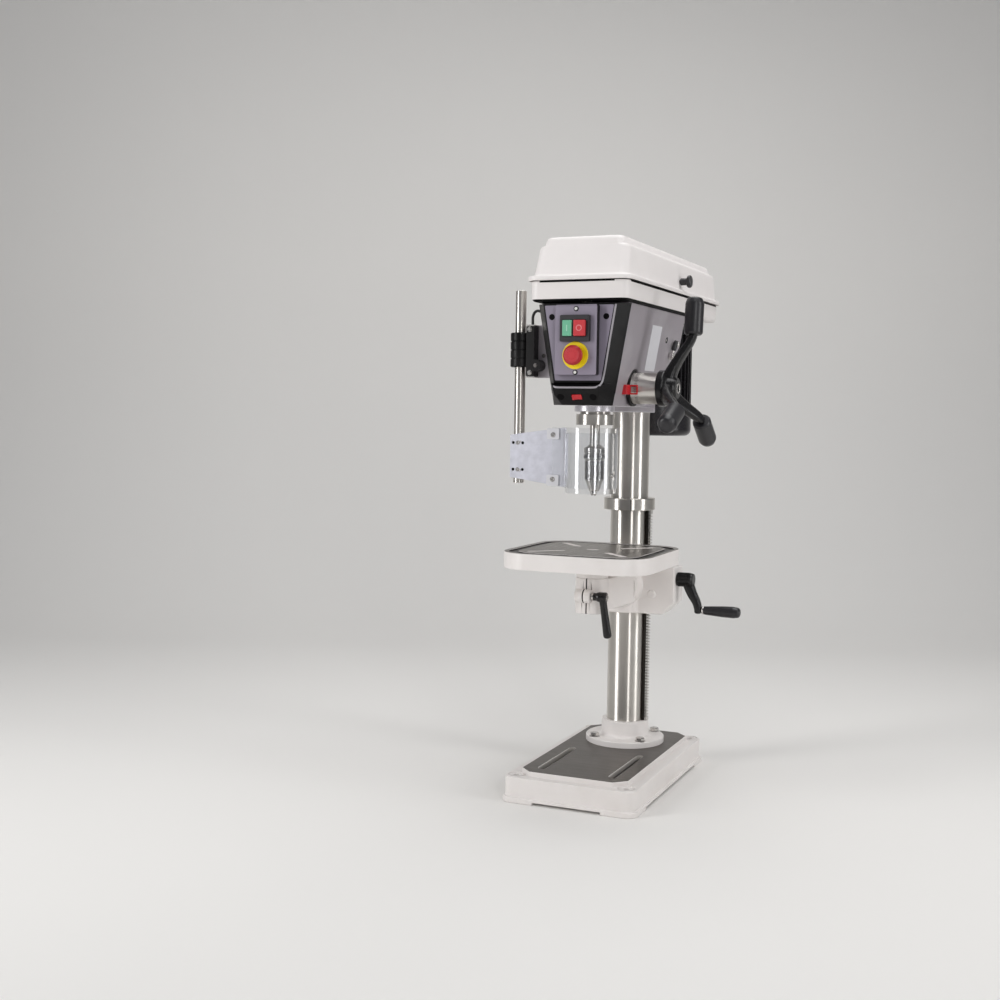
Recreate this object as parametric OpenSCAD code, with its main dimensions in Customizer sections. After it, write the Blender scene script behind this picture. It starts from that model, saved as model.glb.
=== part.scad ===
// Benchtop drill press with a rack-and-crank table, a chuck guard and a belt drive under a lid.
// Millimetres. +Z is up, +X is the operator's right, -Y faces the operator.
// The origin is the centre of the four bench bolt holes, on the bench.
// Every piece but the base is drawn in a frame whose Z axis is the column's axis.

/* [Base] */
// Width of the base across its foot lip
base_w = 280; // [268:1:300]
// Depth of the base across its foot lip
base_d = 496; // [486:1:520]
// Height of the painted body of the base
base_h = 50; // [44:1:60]
// How far the foot lip stands out of the body
base_lip = 5; // [3:0.5:7]
// Height of the foot lip
base_lip_h = 11; // [8:1:16]
// Corner radius of the base
base_corner_r = 24; // [16:1:30]
// Wall of the hollow base
base_wall = 11; // [8:1:14]
// Thickness of the base under its top
base_deck_t = 13; // [10:1:18]
// Width of the machined deck
deck_w = 222; // [214:1:226]
// Depth of the machined deck
deck_d = 448; // [440:1:452]
// Height of the deck above the body
deck_h = 10; // [6:1:14]
// Corner cut of the deck
deck_cut = 24; // [22:1:30]
// Bench hole spacing, left to right
bench_pitch_x = 228; // [224:1:232]
// Bench hole spacing, front to rear
bench_pitch_y = 444; // [438:1:448]
// Bench bolt hole
bench_hole_d = 12; // [9:0.5:14]
// Width of a base slot
base_slot_w = 14; // [10:1:18]
// Length of a base slot
base_slot_len = 186; // [140:1:200]
// Spacing of the two base slots
base_slot_pitch = 148; // [120:1:160]
// Height of the gaps between the feet
foot_gap_h = 5; // [3:0.5:8]

/* [Column] */
// Distance of the column axis behind the origin
column_y = 110; // [104:1:116]
// Outside diameter of the column
column_d = 80; // [76:1:84]
// Wall of the column tube
column_wall = 6; // [4:0.5:9]
// Diameter of the column flange
flange_d = 168; // [160:1:176]
// Thickness of the column flange
flange_t = 13; // [10:1:16]
// Wall of the flange neck
neck_wall = 10.5; // [8:0.5:14]
// Height of the flange and its neck
neck_h = 48; // [36:1:56]
// Bolt circle of the flange
flange_pcd = 144; // [138:1:148]
// Flange bolt thread
flange_bolt_d = 12; // [10:1:14]
// Width of the lifting rack
rack_w = 16; // [12:1:20]
// How far the rack stands out of the column
rack_t = 10; // [8:0.5:12]
// Height of the rack ring's lower face
ring_z = 562; // [560:1:600]
// Height of the rack ring
ring_h = 25; // [20:1:32]
// Wall of the rack ring outside the column
ring_wall = 14.5; // [14:0.5:18]

/* [Table] */
// Column axis to spindle axis
throat = 228; // [226:1:234]
// Side of the square table
table_w = 300; // [280:1:302]
// Height of the table's rim
table_t = 32; // [28:1:36]
// Height of the table top above the bench
table_z = 495; // [470:1:500]
// Corner radius of the table
table_corner_r = 65; // [60:1:80]
// Thickness of the table plate
table_plate_t = 15; // [12:1:18]
// Wall of the table's rim
table_rim = 10; // [8:1:14]
// Width of a table slot
table_slot_w = 14; // [10:1:18]
// Distance of a table slot's ends from the centre
table_slot_in = 62; // [56:1:70]
// Distance of a table slot's outer ends from the centre
table_slot_out = 142; // [120:1:146]
// Width of the coolant gutter
gutter_w = 11; // [8:1:14]
// Depth of the coolant gutter
gutter_t = 3; // [2:0.5:5]
// Hole through the middle of the table
table_bore_d = 24; // [16:1:30]
// Diameter of the table's stem
stem_d = 44; // [38:1:48]
// Diameter of the collar under the table
stem_collar_d = 64; // [58:1:70]

/* [Table bracket] */
// Height of the collar under the table, above the boss
stem_collar_h = 23; // [18:1:28]
// Height of the split boss
boss_h = 71; // [64:1:76]
// Outside diameter of the split boss
boss_d = 66; // [62:1:70]
// Width of the clamp slit
slit_w = 2.5; // [2:0.25:4]
// Diameter of the clamp lug
lug_d = 27; // [24:1:30]
// Height of the tilt axis under the table top
tilt_drop = 90; // [84:1:94]
// Diameter of the tilt flange
tilt_flange_d = 94; // [88:1:100]
// Diameter of the tilt bolt
tilt_bolt_d = 20; // [16:1:24]
// Wall of the column clamp
clamp_wall = 18; // [15:1:20]
// Height of the column clamp
clamp_h = 101; // [96:1:104]
// Right face of the gearbox from the column axis
gearbox_x = 116; // [112:1:124]
// Front face of the gearbox from the column axis
gearbox_front = 45; // [42:1:48]
// Teeth of the lifting pinion
lift_teeth = 18; // [17:1:19]
// Teeth of the worm wheel
wheel_teeth = 24; // [22:1:26]
// Module of the gears and racks
gear_module = 2; // [1.9:0.05:2.1]
// Radius of the worm's core
worm_core_r = 6.4; // [5.5:0.1:6.4]
// Diameter of the crank hub
crank_hub_d = 30; // [26:1:34]
// Crank radius
crank_r = 62; // [54:1:76]
// Length of the crank grip
grip_len = 80; // [70:1:100]

/* [Head] */
// Height of the sole of the head
sole_z = 769; // [765:1:776]
// Thickness of the machined sole
sole_t = 12; // [9:1:15]
// Height of the head casting above the sole
head_h = 197; // [194:1:204]
// Width of the head at its foot
head_w0 = 111; // [108:1:118]
// Width of the head at its top
head_w1 = 180; // [174:1:188]
// Front of the head casting from the column axis
head_front = 298; // [290:1:304]
// Back of the head casting behind the column axis
head_back = 86; // [80:1:90]
// Wall of the head casting
head_wall = 8; // [6:1:10]
// Wall of the quill sleeve
sleeve_wall = 12; // [9:1:12]
// Wall of the column socket
socket_wall = 10; // [8:1:12]

/* [Quill and feed] */
// Diameter of the quill
quill_d = 60; // [58:1:62]
// Travel of the quill
quill_travel = 85; // [60:1:86]
// Diameter of the quill's collar
collar_d = 76; // [70:1:77]
// Height of the quill's collar
collar_h = 21; // [16:1:24]
// Diameter of the spindle
spindle_d = 20; // [18:1:22]
// Feed shaft height above the sole of the head
feed_rise = 47.5; // [47:0.5:52]
// Teeth of the feed pinion
feed_teeth = 16; // [16:1:18]
// Diameter of the feed shaft
feed_shaft_d = 26; // [22:1:28]
// Diameter of the feed boss
feed_boss_d = 70; // [66:1:72]
// Diameter of the depth drum
drum_d = 62; // [56:1:66]
// Length of the depth drum
drum_len = 52; // [46:1:56]
// Diameter of the feed hub
feed_hub_d = 72; // [66:1:76]
// Turn of the star handle at rest
star_turn = 6; // [0:1:20]
// Radius where a handle grip starts
knob_r0 = 106; // [98:1:110]
// Length of a handle grip
knob_len = 74; // [66:1:80]
// Diameter of a handle grip
knob_d = 37; // [32:1:40]

/* [Chuck] */
// Diameter of the chuck body
chuck_d = 44; // [42:1:46]
// Height of the chuck body
chuck_h = 92; // [88:1:96]
// Wall of the chuck sleeve
chuck_sleeve_wall = 2.8; // [2:0.2:3.6]
// Diameter of a jaw
jaw_d = 9; // [8:0.5:9.5]
// Length of a jaw
jaw_len = 30; // [26:1:31]
// Slant of a jaw
jaw_slant = 15; // [13:1:16]

/* [Belt drive and covers] */
// Height of the belt tub
tub_h = 39; // [34:1:44]
// Width of the belt tub
tub_w = 198; // [194:1:204]
// Front of the belt tub from the column axis
tub_front = 342; // [336:1:350]
// Back of the belt tub behind the column axis
tub_back = 323; // [316:1:332]
// Corner radius of the belt tub
tub_corner_r = 18; // [16:1:24]
// Fillet under the belt tub
tub_fillet = 9; // [6:1:11]
// Wall of the tub and the lid
cover_wall = 3; // [2:0.5:4]
// Height of the lid above the seam
lid_h = 86; // [84:1:94]
// How far the lid's lip stands out
lid_lip = 7; // [4:0.5:8]
// Pitch of the pulley steps
step_h = 16; // [14:0.5:17]
// Difference of radius between pulley steps
step_r = 10; // [8:0.5:10]
// Radius of the smallest spindle pulley step
spindle_step_r = 36; // [34:1:38]
// Radius of the smallest idler pulley step
idler_step_r = 38; // [36:1:40]
// Radius of the smallest motor pulley step
motor_step_r = 28; // [26:1:30]
// Width of a belt
belt_w = 9; // [7:0.5:10]
// Idler axis in front of the column axis
idler_y = 10; // [4:1:16]

/* [Motor] */
// Motor axis behind the column axis
motor_y = 190; // [186:1:196]
// Diameter of the motor over its fins
motor_d = 150; // [140:1:152]
// Height of the motor's lower end
motor_z = 718; // [712:1:730]
// Height of the smooth lower bell
bell_h = 72; // [60:1:84]
// Number of fins
fin_count = 36; // [24:4:48]
// Travel of the motor for belt tension
tension_travel = 12; // [8:1:14]

/* [Front panel] */
// Face of the panel from the column axis
panel_y = 330; // [326:1:334]
// How far the panel's rim stands out of the head's side
panel_rim = 5; // [3:0.5:7]
// Width of the panel face at its top
panel_w1 = 148; // [140:1:156]
// Width of the panel face at its foot
panel_w0 = 100; // [94:1:106]
// Width of the control box
box_w = 84; // [80:1:92]
// Height of the control box
box_h = 133; // [126:1:136]
// Depth of the control box
box_d = 16; // [14:1:20]
// Diameter of the emergency stop's ring
stop_ring_d = 52; // [48:1:56]
// Diameter of the mushroom button
mushroom_d = 38; // [34:1:42]
// Travel of the mushroom button
mushroom_travel = 4; // [3:0.5:5]
// Travel of the start and stop buttons
button_travel = 3; // [2:0.5:3.5]

/* [Chuck guard] */
// Guard rod from the spindle axis
guard_x = 163; // [160:1:170]
// Diameter of the guard rod
rod_d = 22; // [18:1:24]
// Lower end of the guard rod
rod_z0 = 623; // [616:1:626]
// Length of the guard rod
rod_len = 387; // [360:1:390]
// Diameter of the ribbed holder
holder_d = 40; // [38:1:44]
// Height of the ribbed holder
holder_h = 69; // [60:1:76]
// Lower end of the ribbed holder
holder_z = 857; // [850:1:862]
// Outside diameter of the outer shield
shield_d = 106; // [100:1:110]
// Shield axis left of the spindle axis
shield_x = 7; // [4:1:10]
// Wall of the shields
shield_wall = 2; // [1.5:0.25:3]
// Lower edge of the outer shield
shield_z = 618; // [612:1:624]
// Height of the outer shield
shield_h = 119; // [110:1:124]
// How far the inner shield hangs out at rest
shield_drop = 10; // [6:1:14]
// Thickness of the guard plate
plate_t = 2; // [1.5:0.25:3]

/* [Clearances] */
// Radial running clearance of shafts and slides
run = 0.05; // [0.03:0.01:0.08]
// Clearance between loose neighbours
gap = 0.4; // [0.3:0.05:0.5]

/* [Hidden] */
$fn = 64;
eps = 0.02;

// Colours
white_paint = [0.90, 0.89, 0.86];
grey_paint = [0.52, 0.51, 0.53];
black_plastic = [0.09, 0.09, 0.10];
steel = [0.72, 0.72, 0.73];
dark_steel = [0.42, 0.41, 0.41];
iron = [0.45, 0.45, 0.47];
red = [0.80, 0.10, 0.10];
clear = [0.85, 0.90, 0.95, 0.35];

// Base and column
column_r = column_d / 2;
deck_z = base_h + deck_h;
flange_top = deck_z + flange_t;
neck_r = column_r + neck_wall;
neck_top = deck_z + neck_h;
bench_boss_d = bench_hole_d + 20;
body_w = base_w - 2 * base_lip;
body_d = base_d - 2 * base_lip;
base_slot_y = -deck_d / 2 + base_slot_len / 2 + 31;
foot_gap_w = base_w / 2;
foot_gap_d = base_d * 0.7;
bolt_head_h = 8;

// Gears and racks
tooth_pitch = PI * gear_module;
addendum = 0.9 * gear_module;
dedendum = 1.25 * gear_module;
backlash = 0.5;
lift_r = lift_teeth * gear_module / 2;
wheel_r = wheel_teeth * gear_module / 2;
feed_r = feed_teeth * gear_module / 2;
rack_tip_x = column_r + rack_t;
rack_pitch_x = rack_tip_x - addendum;
rack_z0 = neck_top + gap;
ring_recess = 10;
rack_z1 = ring_z + ring_recess - gap;

// Table and bracket
table_bottom = table_z - table_t;
boss_top = table_bottom - stem_collar_h;
boss_bottom = boss_top - boss_h;
tilt_z = table_z - tilt_drop;
clamp_r = column_r + clamp_wall;
clamp_top = tilt_z + 41;
clamp_bottom = clamp_top - clamp_h;
tilt_face = max(throat - table_w / 2 - 2, clamp_r + 6);
tilt_bolt_in = 30;
tilt_flange_t = 14;
arm_w0 = boss_d - 10;
arm_w1 = tilt_flange_d - 8;
arm_h = boss_h - 8;
lug_x0 = 18;
lug_x1 = 14;
lug_y = throat + boss_d / 2 + 10;
lug_z = boss_bottom + boss_h / 2 + 2;
clamp_screw_d = 10;
lever_len = 84;
lift_x = rack_pitch_x + lift_r;
lift_z = clamp_bottom + 42;
worm_pitch_r = 9;
worm_z = lift_z + wheel_r + worm_pitch_r;
worm_y = 22;
worm_shaft_d = 16;
gearbox_back = rack_w / 2 + 12;
gearbox_wall = 9;
lift_pin_d = 14;
gear_room = gear_module + gap;
crank_hub_len = 36;
crank_arm_x = gearbox_x + crank_hub_len + 11;
crank_z = worm_z;
bracket_lug_y = clamp_r + 16;
bracket_lug_z = clamp_bottom + clamp_h / 2;

// Head
head_z0 = sole_z + sole_t;
head_z1 = head_z0 + head_h;
quill_r = quill_d / 2;
sleeve_r = quill_r + sleeve_wall;
socket_r = column_r + socket_wall;
column_top = head_z1 - 10;
feed_z = sole_z + feed_rise;
quill_flat = quill_r - 1;
feed_y = throat - (quill_flat - addendum + feed_r);
feed_bore_r = feed_r + gear_module + gap;
quill_flat_w = 2 * feed_r - 4;
pinion_len = quill_flat_w - 2 * gap;
feed_face = head_width(feed_z) / 2 - 2;
feed_flange_t = 6;
drum_x0 = feed_face + feed_flange_t + gap;
hub_x0 = drum_x0 + drum_len + gap;
hub_t = 17;
nose_d = 46;
nose_x = hub_x0 + hub_t + 20;
knob_x = nose_x + 26;
pulley_hub_d = 32;
pulley_bush_h = 32;
idler_post_d = 18;
slide_rod_d = 16;
slide_rod_x = 58;
slide_rod_z = head_z1 - 33;

// Quill and chuck
quill_z0 = sole_z - collar_h - 5;
quill_z1 = head_z1 - pulley_bush_h - 10;
collar_z1 = quill_z0 + collar_h;
bearing_d = 34;
bearing_h = 12;
spindle_top = head_z1 + 82;
chuck_top = quill_z0 - 40;
chuck_z0 = chuck_top - chuck_h;
chuck_cone_h = 20;
chuck_r = chuck_d / 2;
jaw_tip_r = 3;
jaw_out = 8;
jaw_tip_z = chuck_z0 - jaw_out;
jaw_stroke = 24;

// Belt drive and covers
seam_z = head_z1 + tub_h;
lid_gap = 1;
lid_z0 = seam_z + lid_gap;
lid_z1 = lid_z0 + lid_h;
tub_len = tub_front + tub_back;
tub_mid = (tub_back - tub_front) / 2;
lid_shoulder = lid_h - 18;
lid_w1 = tub_w - 14;
lid_w2 = tub_w - 35;
lid_w3 = tub_w - 46;
lid_back1 = 5;
lid_back2 = 14;
lid_back3 = 20;
lid_slope = 30;
lid_lip_h = 9;
hinge_r = 3;
knuckle_r = 6;
hinge_x = tub_w / 2 + lid_lip + knuckle_r + 2;
knuckle_len = 24;
hinge_inset = 150;
hinge_ys = [-tub_front + hinge_inset, tub_back - hinge_inset];
lid_knob_y = 20;
lid_knob_z = lid_z0 + 27;
lid_knob_d = 8;
pulley_z = head_z1 + cover_wall + 7;
steps = 4;
groove = 7;
flange_h = (step_h - belt_w) / 2 - gap;
spindle_level = 2;
motor_level = 1;

// Motor
motor_top = head_z1 - 25;
motor_plate_t = 12;
motor_core_d = motor_d - 26;
fin_z1 = motor_top - 8;
plate_front = head_back + tension_travel + 14;
motor_shaft_d = 19;
motor_shaft_in = 50;
tension_z = head_z0 + 108;
tension_knob_d = 11;
tension_knob_h = 18;

// Front panel
panel_top = head_z1 - 2;
panel_foot = head_z0 + 43;
chin_y = panel_y + 15;
chin_z = head_z0 + 31;
chin_low_y = panel_y - 7;
chin_w = panel_w0 - 6;
chin_cut_w = 12;
chin_cut_h = 21;
box_y = panel_y + box_d;
box_top = panel_top - 5;
box_z0 = box_top - box_h;
bezel_w = 60;
bezel_h = 50;
bezel_t = 8;
bezel_z = box_top - 20 - bezel_h / 2;
button_h = 30;
start_w = 19;
stop_w = 23;
start_x = -14;
stop_x = 11;
stop_z = box_z0 + 37;
stop_ring_t = 2;
mushroom_t = 13;
chin_angle = 90 + atan2(chin_y - chin_low_y, chin_z - head_z0);
rocker_w = 20;
rocker_h = 11;
rocker_t = 7;
rocker_tip = 8;
rocker_pivot = 3;
rocker_pin_d = 3;
rocker_pin_len = rocker_h + 5;
rocker_pos = [0, -(chin_y + chin_low_y) / 2, (chin_z + head_z0) / 2 + 0.5];
light_x = 33;
light_d = 13;

// Chuck guard
shield_r = shield_d / 2;
inner_r = shield_r - shield_wall - gap;
rod_z1 = rod_z0 + rod_len;
bush_d = rod_d + 8;
switch_w = 18;
switch_d = 34;
switch_z0 = holder_z - 18;
switch_z1 = holder_z + holder_h + 12;
switch_boss_d = 24;
switch_x0 = guard_x - holder_d / 2 + 1;
bracket_t = 3;
bracket_z0 = switch_z0 - gap - bracket_t;
bracket_z1 = switch_z1 + gap + bracket_t;
bracket_y = throat - 6;
plate_y = throat + rod_d / 2;
plate_left = guard_x + 14;
plate_right = shield_r + shield_x - 1;
plate_h0 = 86;
plate_z = shield_z + shield_h / 2;
lead_d = 5.5;
// Route of the switch lead, from the top of the switch to the side of the head
lead_route = [[-138, -225, 941.5], [-138.2, -225, 950], [-138, -225, 958], [-135.5, -225, 965], [-130.5, -225, 969.4],
    [-124.5, -225, 969.6], [-118, -225, 966.4], [-110, -225, 961.6], [-101, -225, 958.2], [-94, -225, 956.9], [-87.2, -225, 956.5]];

// Width of the head at a height
function head_width(z) = head_w0 + (head_w1 - head_w0) * (z - head_z0) / head_h;

// Involute angle, in degrees, at a pressure angle
function inv_deg(a) = tan(a) * 180 / PI - a;

// Half the angle of a tooth at a radius
function tooth_half(r, pitch_r, base_r) =
    let (half = (tooth_pitch / 2 - backlash) / 2 / pitch_r * 180 / PI)
    half + inv_deg(20) - (r > base_r ? inv_deg(acos(base_r / r)) : 0);

// Outline of a gear with one tooth centred on +X
function gear_outline(teeth) =
    let (
        pitch_r = teeth * gear_module / 2,
        base_r = pitch_r * cos(20),
        root_r = pitch_r - dedendum,
        tip_r = pitch_r + addendum,
        radii = [root_r, max(base_r, root_r + 0.2), pitch_r, (pitch_r + tip_r) / 2, tip_r],
        sides = [for (r = radii) [r, tooth_half(r, pitch_r, base_r)]],
        flank = concat([for (s = sides) [s[0], -s[1]]], [for (i = [4:-1:0]) [sides[i][0], sides[i][1]]])
    )
    [for (k = [0:teeth - 1]) for (p = flank) p[0] * [cos(p[1] + k * 360 / teeth), sin(p[1] + k * 360 / teeth)]];

// Gap between two rack teeth, as [depth, height] points about the pitch line
function rack_gap() =
    let (
        half = tooth_pitch / 4,
        tip = half + (addendum + eps) * tan(20),
        root = half - dedendum * tan(20)
    )
    [[addendum + eps, -tip], [-dedendum, -root], [-dedendum, root], [addendum + eps, tip]];

// Shift into the column's frame
module at_column() { translate([0, column_y, 0]) children(); }

// Round bars along the axes
module rod_x(x0, x1, d, y, z) { translate([x0, y, z]) rotate([0, 90, 0]) cylinder(d = d, h = x1 - x0); }
module rod_y(y0, y1, d, x, z) { translate([x, y0, z]) rotate([-90, 0, 0]) cylinder(d = d, h = y1 - y0); }
module rod_z(z0, z1, d, x, y) { translate([x, y, z0]) cylinder(d = d, h = z1 - z0); }

// Upright tube on a vertical axis
module tube_z(z0, z1, d_out, d_in, x, y) {
    difference() {
        rod_z(z0, z1, d_out, x, y);
        rod_z(z0 - 1, z1 + 1, d_in, x, y);
    }
}

// Block from its low corner to its high corner
module block(low, high) { translate(low) cube(high - low); }

// Outline in Y and Z, stretched along X
module side_sheet(x0, x1) { translate([x0, 0, 0]) rotate([90, 0, 90]) linear_extrude(x1 - x0) children(); }

// Outline in X and Z, stretched along Y
module front_sheet(y0, y1) { translate([0, y1, 0]) rotate([90, 0, 0]) linear_extrude(y1 - y0) children(); }

// Rectangle with round corners, about the origin
module rounded_rect(w, d, r) {
    square([w - 2 * r, d], center = true);
    square([w, d - 2 * r], center = true);
    for (x = [-1, 1]) for (y = [-1, 1]) translate([x * (w / 2 - r), y * (d / 2 - r)]) circle(r);
}

// Slot with round ends along Y, about the origin
module slot_outline(w, len) {
    square([w, len - w], center = true);
    for (s = [-1, 1]) translate([0, s * (len - w) / 2]) circle(d = w);
}

// Outline of a belt or plate wrapped round two circles on the Y axis
module wrap_outline(y0, r0, y1, r1) {
    turn = asin((r0 - r1) / (y1 - y0));
    c = cos(turn);
    s = sin(turn);
    translate([0, y0]) circle(r0);
    translate([0, y1]) circle(r1);
    polygon([[-r0 * c, y0 + r0 * s], [r0 * c, y0 + r0 * s], [r1 * c, y1 + r1 * s], [-r1 * c, y1 + r1 * s]]);
}

// Every bench hole's place
module at_bench_holes() {
    for (x = [-1, 1]) for (y = [-1, 1]) translate([x * bench_pitch_x / 2, y * bench_pitch_y / 2, 0]) children();
}

// Every flange bolt's place
module at_flange_bolts() {
    for (k = [0:3]) rotate(45 + 90 * k) translate([flange_pcd / 2, 0, 0]) children();
}

module deck_outline() {
    w = deck_w / 2;
    d = deck_d / 2;
    polygon([[-w + deck_cut, -d], [w - deck_cut, -d], [w, -d + deck_cut], [w, d - deck_cut],
        [w - deck_cut, d], [-w + deck_cut, d], [-w, d - deck_cut], [-w, -d + deck_cut]]);
}

module base() {
    color(white_paint)
    difference() {
        union() {
            linear_extrude(base_lip_h) rounded_rect(base_w, base_d, base_corner_r);
            linear_extrude(base_h) rounded_rect(body_w, body_d, base_corner_r - base_lip);
            linear_extrude(deck_z) deck_outline();
            at_bench_holes() cylinder(d = bench_boss_d, h = base_h + 1);
        }
        difference() {
            translate([0, 0, -1]) linear_extrude(base_h - base_deck_t + 1)
                rounded_rect(body_w - 2 * base_wall, body_d - 2 * base_wall, base_corner_r - base_lip);
            at_bench_holes() translate([0, 0, -2]) cylinder(d = bench_boss_d, h = base_h);
        }
        at_bench_holes() translate([0, 0, -1]) cylinder(d = bench_hole_d, h = base_h + 10);
        for (x = [-1, 1]) translate([x * base_slot_pitch / 2, base_slot_y, -1])
            linear_extrude(deck_z + 2) slot_outline(base_slot_w, base_slot_len);
        block([-foot_gap_w / 2, -base_d, -1], [foot_gap_w / 2, base_d, foot_gap_h]);
        block([-base_w, -foot_gap_d / 2, -1], [base_w, foot_gap_d / 2, foot_gap_h]);
        at_column() at_flange_bolts() translate([0, 0, base_deck_t]) cylinder(d = flange_bolt_d + 2 * run, h = deck_z);
    }
}

module column_flange() {
    lead_in = 2;
    fillet = 6;
    color(white_paint) at_column()
    difference() {
        rotate_extrude()
            polygon([[column_r + run, deck_z], [flange_d / 2, deck_z], [flange_d / 2, flange_top - lead_in],
                [flange_d / 2 - lead_in, flange_top], [neck_r + fillet, flange_top], [neck_r, flange_top + fillet],
                [neck_r, neck_top - lead_in], [neck_r - lead_in, neck_top], [column_r + run, neck_top]]);
        at_flange_bolts() translate([0, 0, deck_z - 1]) cylinder(d = flange_bolt_d + 2 * gap, h = flange_t + 2);
    }
}

module flange_bolts() {
    color(steel) at_column() at_flange_bolts() {
        translate([0, 0, base_deck_t + base_h - flange_bolt_d * 1.7]) cylinder(d = flange_bolt_d, h = flange_top
            - base_deck_t - base_h + flange_bolt_d * 1.7 + eps);
        translate([0, 0, flange_top]) cylinder(d = flange_bolt_d * 1.75, h = bolt_head_h, $fn = 6);
    }
}

module column() { color(steel) at_column() tube_z(deck_z, column_top, column_d, column_d - 2 * column_wall, 0, 0); }

module rack_ring() {
    chamfer = 1.5;
    ring_r = column_r + ring_wall;
    top = ring_z + ring_h;
    recess_r = norm([rack_tip_x, rack_w / 2]) + gap;
    color(steel) at_column() rotate_extrude()
        polygon([[recess_r, ring_z], [ring_r - chamfer, ring_z], [ring_r, ring_z + chamfer], [ring_r, top - chamfer],
            [ring_r - chamfer, top], [column_r + run, top], [column_r + run, ring_z + ring_recess],
            [recess_r, ring_z + ring_recess]]);
}

module rack() {
    gaps_below = floor((lift_z - rack_z0) / tooth_pitch) - 1;
    gaps_above = floor((rack_z1 - ring_recess - lift_z) / tooth_pitch) - 1;
    color(steel) at_column()
    difference() {
        block([0, -rack_w / 2, rack_z0], [rack_tip_x, rack_w / 2, rack_z1]);
        rod_z(rack_z0 - 1, rack_z1 + 1, column_d + 2 * gap, 0, 0);
        for (k = [-gaps_below:gaps_above]) translate([rack_pitch_x, 0, lift_z + k * tooth_pitch])
            front_sheet(-rack_w, rack_w) polygon(rack_gap());
    }
}

module head_profile(inset) {
    cut_y = 80;
    cut_z = 68;
    polygon([[-head_front + inset, head_z0 + inset], [-cut_y - inset, head_z0 + inset], [-cut_y - inset, head_z0 + 7 + inset],
        [head_back - inset, head_z1 - cut_z + inset], [head_back - inset, head_z1 + inset], [-head_front + inset, head_z1 + inset]]);
}

module head_section(inset) {
    w0 = head_w0 / 2 - inset;
    w1 = head_w1 / 2 - inset;
    polygon([[-w0, head_z0], [w0, head_z0], [w1, head_z1], [-w1, head_z1], [-w0, head_z0]]);
}

module head_block(inset) {
    intersection() {
        front_sheet(-head_front, head_back) head_section(inset);
        side_sheet(-head_w1, head_w1) head_profile(inset);
    }
}

module head() {
    rod_boss_d = slide_rod_d + 10;
    color(grey_paint) at_column()
    difference() {
        union() {
            difference() {
                head_block(0);
                head_block(head_wall);
            }
            intersection() {
                head_block(0);
                union() {
                    rod_z(head_z0, head_z1, 2 * sleeve_r, 0, -throat);
                    for (s = [-1, 1]) rod_y(0, head_back, rod_boss_d, s * slide_rod_x, slide_rod_z);
                    rod_x(-head_w1, head_w1, feed_boss_d + 2 * head_wall, -feed_y, feed_z);
                }
            }
            translate([0, 0, sole_z]) linear_extrude(sole_t) wrap_outline(-throat, sleeve_r - 1, 0, socket_r);
            rod_z(head_z0, head_z1, 2 * socket_r, 0, 0);
            rod_z(head_z1 - eps, head_z1 + cover_wall + 4 * step_h + 10, idler_post_d, 0, -idler_y);
        }
        for (s = [0, 1]) mirror([s, 0, 0]) rod_x(feed_face, head_w1, feed_hub_d + 4, -feed_y, feed_z);
        rod_z(sole_z - 1, column_top, column_d + 2 * run, 0, 0);
        rod_z(sole_z - 1, head_z1 - pulley_bush_h, quill_d + 2 * run, 0, -throat);
        rod_z(sole_z - 1, head_z1 + 1, pulley_hub_d + 2 * run, 0, -throat);
        rod_x(-feed_r, feed_face + 1, 2 * feed_bore_r, -feed_y, feed_z);
        rod_x(-feed_face - 1, 0, feed_shaft_d + 2 * run, -feed_y, feed_z);
        for (s = [-1, 1]) rod_y(4, head_back + 1, slide_rod_d + 2 * run, s * slide_rod_x, slide_rod_z);
    }
}

module feed_bearing() {
    color(black_plastic) at_column()
    difference() {
        union() {
            rod_x(feed_r + 3, feed_face, 2 * (feed_bore_r - run), -feed_y, feed_z);
            rod_x(feed_face, feed_face + feed_flange_t, feed_hub_d, -feed_y, feed_z);
        }
        rod_x(0, feed_face + feed_flange_t + 1, feed_shaft_d + 2 * run, -feed_y, feed_z);
    }
}

module feed_shaft() {
    color(steel) at_column() {
        rod_x(-feed_face - 18, hub_x0 + hub_t, feed_shaft_d, -feed_y, feed_z);
        translate([-pinion_len / 2, -feed_y, feed_z]) rotate([90, 0, 90]) rotate(180)
            linear_extrude(pinion_len) polygon(gear_outline(feed_teeth));
    }
}

module depth_drum() {
    color(steel) at_column() difference() {
        rod_x(drum_x0, drum_x0 + drum_len, drum_d, -feed_y, feed_z);
        rod_x(drum_x0 - 1, drum_x0 + drum_len + 1, feed_shaft_d + 2 * run, -feed_y, feed_z);
    }
}

// One arm of the star, pointing up, as radius against distance along the shaft
module star_arm() {
    arm_t = 16;
    reach = knob_r0 + 8;
    front_sheet(-arm_t / 2, arm_t / 2)
        polygon([[hub_x0 + 4, 0], [nose_x - 4, 0], [nose_x, 30], [knob_x + 6, knob_r0 - 12], [knob_x + 7, reach],
            [knob_x - 9, reach], [knob_x - 9, knob_r0 - 6], [hub_x0 + 14, 38]]);
}

module at_star() {
    translate([0, -feed_y, feed_z]) for (k = [0:2]) rotate([-star_turn - 120 * k, 0, 0]) children();
}

module feed_star() {
    color(black_plastic) at_column()
    difference() {
        union() {
            rod_x(hub_x0, hub_x0 + hub_t, feed_hub_d, -feed_y, feed_z);
            rod_x(hub_x0 + hub_t - eps, nose_x, nose_d, -feed_y, feed_z);
            at_star() star_arm();
        }
        rod_x(hub_x0 - 1, hub_x0 + hub_t + run, feed_shaft_d + 2 * run, -feed_y, feed_z);
        at_star() translate([knob_x - 1, 0, knob_r0]) cylinder(d = knob_d, h = knob_len);
    }
}

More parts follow.
